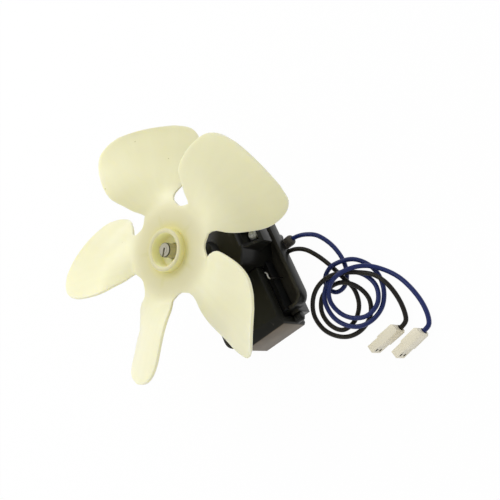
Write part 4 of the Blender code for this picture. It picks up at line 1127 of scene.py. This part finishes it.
    def build_hub(self) -> Piece:
        """The cup, its floor and the long boss, spun from one profile.

        Returns:
            The closed hub.
        """
        cup, lip = self.hub_radius - self.hub_wall, self.hub_lip
        floor_back = self.cup_floor - self.cup_floor_thickness
        profile = (
            (self.hub_radius - lip, self.hub_front), (cup + lip, self.hub_front), (cup, self.hub_front - lip),
            (cup, self.cup_floor + lip), (cup - lip, self.cup_floor),
            (self.bore_radius + self.bore_edge, self.cup_floor),
            (self.bore_radius, self.cup_floor - self.bore_edge), (self.bore_radius, self.boss_back),
            (self.boss_radius - lip, self.boss_back), (self.boss_radius, self.boss_back + lip),
            (self.boss_radius, floor_back), (cup, floor_back), (cup, self.hub_back),
            (self.hub_radius, self.hub_back), (self.hub_radius, self.hub_front - lip))
        return spun("fan_hub_cup", profile, self.hub_sides, unit=1.0)

    def build_rib(self, turn: float) -> Piece:
        """A rib behind the disc.

        Args:
            turn: The angle from the first rib.

        Returns:
            The rib.
        """
        inner, side = self.hub_radius - self.hub_wall / 2, self.rib_thickness / 2
        low = Vector((inner, -side, self.hub_back + self.rib_rise))
        high = Vector((self.rib_reach, side, self.disc_height))
        middle = (low + high) / 2
        rib = block(low, high)
        for corner in rib.data.vertices:
            if corner.co.x > middle.x and corner.co.z < middle.z:
                corner.co.z = self.disc_height - self.thickness
        apply_modifier(rib, "soft_edges", "BEVEL", width=self.rib_edge, segments=2)
        rib.data.transform(Matrix.Rotation(self.set_angle + self.rib_angle + turn, 4, "Z"))
        return rib

    def build(self, wardrobe: Wardrobe) -> Piece:
        """The whole fan, riding on the rotor.

        Args:
            wardrobe: The finishes.

        Returns:
            The fan.
        """
        fan = self.build_sheet()
        ribs = [self.build_rib(2 * math.pi / self.blades * blade) for blade in range(self.blades)]
        for other in [self.build_hub()] + ribs:
            combine(fan, other, "UNION")
        smooth_by_angle(fan, self.smooth_below)
        fan.name = "moulded_fan"
        fan.data.name = "moulded_fan"
        return wardrobe.present(fan, Slot.FAN, Body.ROTOR, "fan_blade")


# Leads

@dataclass
class Lead:
    """One insulated lead on its route from the motor to its connector, with places in mm."""

    colour: str
    slot: Slot
    exit_point: Point
    plug: Plug
    route: tuple[Point, ...]
    radius: float = 1.0 * MM
    spacing: float = 1.0 * MM
    section: int = 4
    plug_edge: float = 0.2 * MM

    def build_housing(self, wardrobe: Wardrobe) -> Piece:
        """Round the connector's housing and cut its windows.

        Args:
            wardrobe: The finishes.

        Returns:
            The housing.
        """
        copy = RoundedCopy(
            f"connector_{self.colour}", f"{self.colour}_plug_housing", Slot.NYLON, self.plug_edge,
            ConnectorNylon(f"{self.colour}_plug_nylon", plug=self.plug))
        housing = copy.build(wardrobe)
        self.plug.cut_windows(housing)
        return housing

    def build(self, wardrobe: Wardrobe) -> list[Piece]:
        """Lay the lead.

        Args:
            wardrobe: The finishes.

        Returns:
            The connector's housing and the lead.
        """
        housing = self.build_housing(wardrobe)
        dense = smooth_line([Vector(point) * MM for point in self.route])
        length = sum((after - before).length for before, after in zip(dense, dense[1:]))
        points = even_points(dense, round(length / self.spacing))
        piece = tube(f"{self.colour}_lead", points, self.radius, self.section)
        wardrobe.present(piece, self.slot, Body.MOTOR, f"lead_{self.colour}")
        LOG.info("%s laid: %.0f mm", piece.name, length / MM)
        return [housing, piece]


LEADS = (
    Lead("blue", Slot.BLUE, (5.0, 26.6, 3.6), Plug((70.6, 60.4, 0.0), (0.20, -0.98)), route=(
        (5.0, 14.5, 3.6), (5.0, 26.9, 3.6), (5.9, 30.2, 3.9), (7.4, 33.4, 3.9), (10.0, 37.0, 2.9),
        (14.2, 39.6, 1.8), (19.8, 41.6, 1.3), (26.6, 42.4, 1.2), (32.4, 41.0, 1.2), (36.2, 37.4, 1.2),
        (36.2, 33.0, 1.3), (32.6, 30.4, 1.8), (28.6, 32.0, 2.8), (26.6, 36.6, 3.9), (27.0, 41.8, 4.0),
        (29.0, 47.4, 2.6), (33.8, 51.6, 1.4), (40.2, 53.8, 1.2), (47.2, 52.8, 1.2), (52.8, 48.8, 1.4),
        (55.6, 43.0, 2.8), (55.0, 36.6, 3.8), (50.8, 31.0, 3.7), (44.8, 27.8, 4.0), (37.6, 28.6, 5.4),
        (33.0, 33.4, 6.6), (31.4, 39.6, 5.8), (33.6, 44.8, 3.9), (38.2, 49.2, 2.6), (44.8, 51.2, 2.6),
        (51.0, 48.8, 3.4), (53.2, 42.6, 3.9), (50.8, 36.2, 3.9), (45.8, 31.8, 4.2), (40.0, 31.2, 6.4),
        (35.2, 35.4, 9.0), (33.6, 42.0, 9.8), (34.0, 48.4, 7.2), (36.2, 53.2, 4.4), (40.4, 57.4, 2.4),
        (46.0, 61.2, 1.8), (52.6, 63.8, 1.9), (60.4, 65.2, 1.9), (66.6, 64.8, 2.0), (69.6, 63.4, 2.0),
        (70.4, 61.4, 2.0), (70.8, 59.2, 2.0))),
    Lead("black", Slot.DARK, (8.8, 16.1, 3.8), Plug((64.4, 52.1, 0.0), (0.14, -0.99)), route=(
        (8.8, 14.5, 3.8), (8.8, 22.1, 3.8), (10.2, 26.2, 3.6), (12.6, 29.4, 3.0), (16.4, 32.0, 2.0),
        (20.8, 34.2, 1.3), (27.0, 37.0, 1.7), (33.8, 40.2, 3.9), (40.2, 41.6, 2.4), (46.6, 39.8, 1.3),
        (51.2, 34.8, 1.2), (51.6, 28.0, 1.2), (46.6, 23.6, 1.3), (40.0, 23.0, 2.0), (35.0, 27.2, 3.4),
        (34.0, 34.2, 4.3), (36.6, 40.8, 6.0), (41.4, 44.8, 4.4), (47.4, 45.6, 2.2), (53.2, 42.2, 1.3),
        (56.0, 36.0, 1.2), (55.4, 29.2, 1.2), (51.6, 23.4, 1.2), (46.0, 19.6, 1.3), (39.4, 19.2, 2.4),
        (34.2, 23.4, 5.0), (31.6, 30.2, 7.6), (31.6, 37.4, 8.6), (33.4, 43.2, 6.9), (36.4, 48.4, 5.2),
        (40.6, 53.4, 4.6), (46.6, 56.6, 4.2), (54.2, 57.6, 3.0), (60.4, 56.8, 2.2), (63.2, 55.6, 2.0),
        (64.2, 53.6, 2.0), (64.6, 51.0, 2.0))),
)


# Motor

@dataclass
class ShaftPiece:
    """A turned piece of the shaft's end, with the slot that runs from its centre to its edge.

    The profile is radius and height in mm.
    """

    name: str
    stands_for: str
    slot_from: float
    special: Finish | None
    profile: Profile
    sides: int = 64
    slot_angle: float = math.radians(-44.5)
    slot_width: float = 0.95
    slot_reach: tuple[float, float] = (-0.9, 4.0)
    slot_top: float = 58.0
    smooth_below: float = 35.0

    def build(self, wardrobe: Wardrobe) -> Piece:
        """Turn the piece and cut its slot.

        Args:
            wardrobe: The finishes.

        Returns:
            The piece.
        """
        piece = spun(self.name, self.profile, self.sides)
        low = Vector((self.slot_reach[0], -self.slot_width / 2, self.slot_from)) * MM
        high = Vector((self.slot_reach[1], self.slot_width / 2, self.slot_top)) * MM
        cutter = block(low, high)
        cutter.data.transform(Matrix.Rotation(self.slot_angle, 4, "Z"))
        combine(piece, cutter, "DIFFERENCE")
        smooth_by_angle(piece, self.smooth_below)
        return wardrobe.present(piece, Slot.SHAFT, Body.ROTOR, self.stands_for, self.special)


@dataclass
class SidePiece:
    """A piece turned about a line along Y.

    The profile is radius and distance from the shaft's plane in mm.
    """

    name: str
    stands_for: str | None
    special: Finish | None
    place: Point
    profile: Profile
    sides: int = 48

    def build(self, wardrobe: Wardrobe) -> Piece:
        """Turn the piece and set it in its place.

        Args:
            wardrobe: The finishes.

        Returns:
            The piece.
        """
        piece = spun(self.name, self.profile, self.sides)
        turn = Matrix.Rotation(math.radians(-90), 4, "X")
        piece.data.transform(Matrix.Translation(Vector(self.place) * MM) @ turn)
        smooth_by_angle(piece)
        return wardrobe.present(piece, Slot.BLACK, Body.MOTOR, self.stands_for, self.special)


@dataclass
class SpringWire:
    """A bent spring wire beside the coil cover, on one side of the shaft."""

    name: str
    stands_for: str
    side: int
    radius: float = 0.34 * MM
    section: int = 3
    count: int = 40
    bends: tuple[Point, ...] = (
        (19.2, 16.3, 8.4), (19.2, 15.7, 12.6), (19.0, 14.7, 14.2), (18.3, 13.7, 14.6), (16.0, 13.55, 14.6),
        (15.0, 12.95, 14.6))

    def build(self, wardrobe: Wardrobe) -> Piece:
        """Bend the wire.

        Args:
            wardrobe: The finishes.

        Returns:
            The wire.
        """
        bends = [Vector((x, self.side * y, z)) * MM for x, y, z in self.bends]
        wire = tube(self.name, even_points(smooth_line(bends), self.count), self.radius, self.section)
        select_only(wire)
        bpy.ops.object.convert(target="MESH")
        tidy_mesh(wire)
        smooth_by_angle(wire)
        return wardrobe.present(wire, Slot.ZINC, Body.MOTOR, self.stands_for, SPRING_WIRE)


MOTOR_PIECES = (
    RoundedCopy("rear_housing", "rear_moulding", Slot.BLACK, special=TRAY_BLACK),
    RoundedCopy("front_bracket", "front_moulding", Slot.BLACK),
    RoundedCopy("coil_cover", "coil_moulding", Slot.BLACK, edge=0.35 * MM, special=COVER_WITH_PAINTED_LIGHT),
    RoundedCopy("bracket_screw_left", "left_pan_screw", Slot.ZINC, edge=0.08 * MM),
    RoundedCopy("bracket_screw_right", "right_pan_screw", Slot.ZINC, edge=0.08 * MM),
    ShaftPiece("split_sleeve", "drive_sleeve", 43.0, SLEEVE_STEEL, (
        (1.51, 57.68), (2.75, 57.68), (3.0, 57.45), (3.0, 43.2), (2.9, 43.1), (1.51, 43.1))),
    ShaftPiece("slotted_shaft", "rotor_shaft", 56.9, None, (
        (0.0, 57.8), (1.44, 57.8), (1.5, 57.74), (1.5, 1.4), (1.3, 1.2), (0.0, 1.2))),
    SpringWire("wire_near", "cover_clip_right", 1),
    SpringWire("wire_far", "cover_clip_left", -1),
    SidePiece("lead_grommet", "cord_grommet", LEAD_RUBBER, (5.0, 0.0, 3.6), (
        (1.02, 14.5), (1.75, 14.5), (1.75, 18.35), (2.2, 18.35), (2.4, 18.6), (2.4, 20.4), (2.26, 20.6),
        (2.26, 20.9), (2.4, 21.1), (2.4, 22.7), (2.26, 22.9), (2.26, 23.2), (2.4, 23.4), (2.4, 25.0),
        (2.32, 25.6), (2.1, 26.1), (1.75, 26.45), (1.3, 26.6), (1.02, 26.5))),
    SidePiece("cover_barrel", None, None, (37.5, 0.0, 6.0), (
        (0.0, 12.56), (2.24, 12.56), (2.24, 13.2), (2.0, 13.35), (2.0, 13.5), (2.24, 13.65), (2.24, 14.4),
        (2.0, 14.55), (2.0, 14.7), (2.24, 14.85), (2.24, 15.2), (2.1, 15.6), (1.7, 15.9), (1.2, 16.0),
        (0.0, 16.0))),
)


# Studio

@dataclass
class Studio:
    """The pale floor, the soft lamps and the camera of the photograph, whose place is in mm."""

    camera_place: Point = (158.1, 195.8, 317.3)
    camera_right: Point = (0.3769, 0.6911, -0.6167)
    camera_up: Point = (-0.8341, 0.5429, 0.0983)
    camera_back: Point = (0.4027, 0.4774, 0.7813)
    lens: float = 63.86
    sensor: float = 36.0
    ambient: float = 0.67
    mirrored_sky: float = 0.42
    floor_white: float = 0.97
    floor_colour: Colour = (0.92, 0.92, 0.92)
    floor_roughness: float = 0.9
    floor_size: float = 6.0
    lamps: tuple[tuple[str, Point, float], ...] = (
        ("key_lamp", (-0.42, -0.1, 0.5), 1.75), ("fill_lamp", (0.12, -0.42, 0.34), 0.35))
    lamp_size: float = 0.5
    lamp_aim: Point = (0.02, 0.01, 0.03)

    def build_camera(self) -> None:
        """Set the camera where the photograph was taken from."""
        data = bpy.data.cameras.new("camera")
        data.lens = self.lens
        data.sensor_width = self.sensor
        data.clip_start = 0.01
        camera = placed("camera", data)
        turn = Matrix((self.camera_right, self.camera_up, self.camera_back)).transposed()
        camera.matrix_world = Matrix.Translation(Vector(self.camera_place) * MM) @ turn.to_4x4()
        bpy.context.scene.camera = camera

    def build_floor(self) -> None:
        """A pale floor that shows white to the camera and keeps a faint shadow."""
        floor = added(bpy.ops.mesh.primitive_plane_add, size=self.floor_size, location=(0, 0, 0))
        floor.name = "floor"
        look = bpy.data.materials.new("pale_floor")
        look.use_nodes = True
        pen, nodes = Pen(look.node_tree), look.node_tree.nodes
        shader = nodes["Principled BSDF"]
        pen.feed(shader, {"Base Color": (*self.floor_colour, 1.0), "Roughness": self.floor_roughness})
        glow = pen.add("Emission", {"Strength": 1.0}).outputs[0]
        ray = pen.add("LightPath").outputs
        share = pen.math(
            "MULTIPLY_ADD", ray["Is Camera Ray"], self.floor_white, ray["Is Glossy Ray"], clamp=True)
        mix = pen.add("MixShader", {"Fac": share, 1: shader.outputs["BSDF"], 2: glow})
        pen.feed(nodes["Material Output"], {"Surface": mix.outputs[0]})
        floor.data.materials.append(look)

    def build_world(self) -> None:
        """White behind the object, a dimmer even light on it."""
        world = bpy.data.worlds.new("studio")
        bpy.context.scene.world = world
        world.use_nodes = True
        pen, nodes = Pen(world.node_tree), world.node_tree.nodes
        lit = nodes["Background"]
        pen.feed(lit, {"Color": WHITE, "Strength": self.ambient})
        mirrored = pen.add("Background", {"Color": WHITE, "Strength": self.mirrored_sky})
        seen = pen.add("Background", {"Color": WHITE})
        ray = pen.add("LightPath").outputs
        gloss = pen.add("MixShader", {"Fac": ray["Is Glossy Ray"], 1: lit.outputs[0], 2: mirrored.outputs[0]})
        mix = pen.add("MixShader", {"Fac": ray["Is Camera Ray"], 1: gloss.outputs[0], 2: seen.outputs[0]})
        pen.feed(nodes["World Output"], {"Surface": mix.outputs[0]})

    def add_lamp(self, name: str, place: Point, power: float) -> None:
        """A square soft lamp that looks at the motor.

        Args:
            name: The lamp's name.
            place: Its place in metres.
            power: Its power in watts.
        """
        data = bpy.data.lights.new(name, "AREA")
        data.size = self.lamp_size
        data.energy = power
        lamp = placed(name, data)
        lamp.location = place
        aim = Vector(self.lamp_aim) - Vector(place)
        lamp.rotation_euler = aim.to_track_quat("-Z", "Y").to_euler()

    def build(self) -> None:
        """Set up everything that isn't the object."""
        self.build_camera()
        self.build_floor()
        self.build_world()
        for name, place, power in self.lamps:
            self.add_lamp(name, place, power)
        bpy.context.scene.view_settings.view_transform = "Standard"


def main() -> None:
    """Build the studio, the leads, the fan and the motor."""
    logging.basicConfig(level=logging.INFO, format="%(message)s")
    Studio().build()
    wardrobe = Wardrobe()
    wardrobe.dress_frame()
    for lead in LEADS:
        for piece in lead.build(wardrobe):
            LOG.info("lead piece: %s", piece.name)
    LOG.info("fan: %s", Fan().build(wardrobe).name)
    for part in MOTOR_PIECES:
        LOG.info("motor piece: %s", part.build(wardrobe).name)


if __name__ == "__main__":
    main()
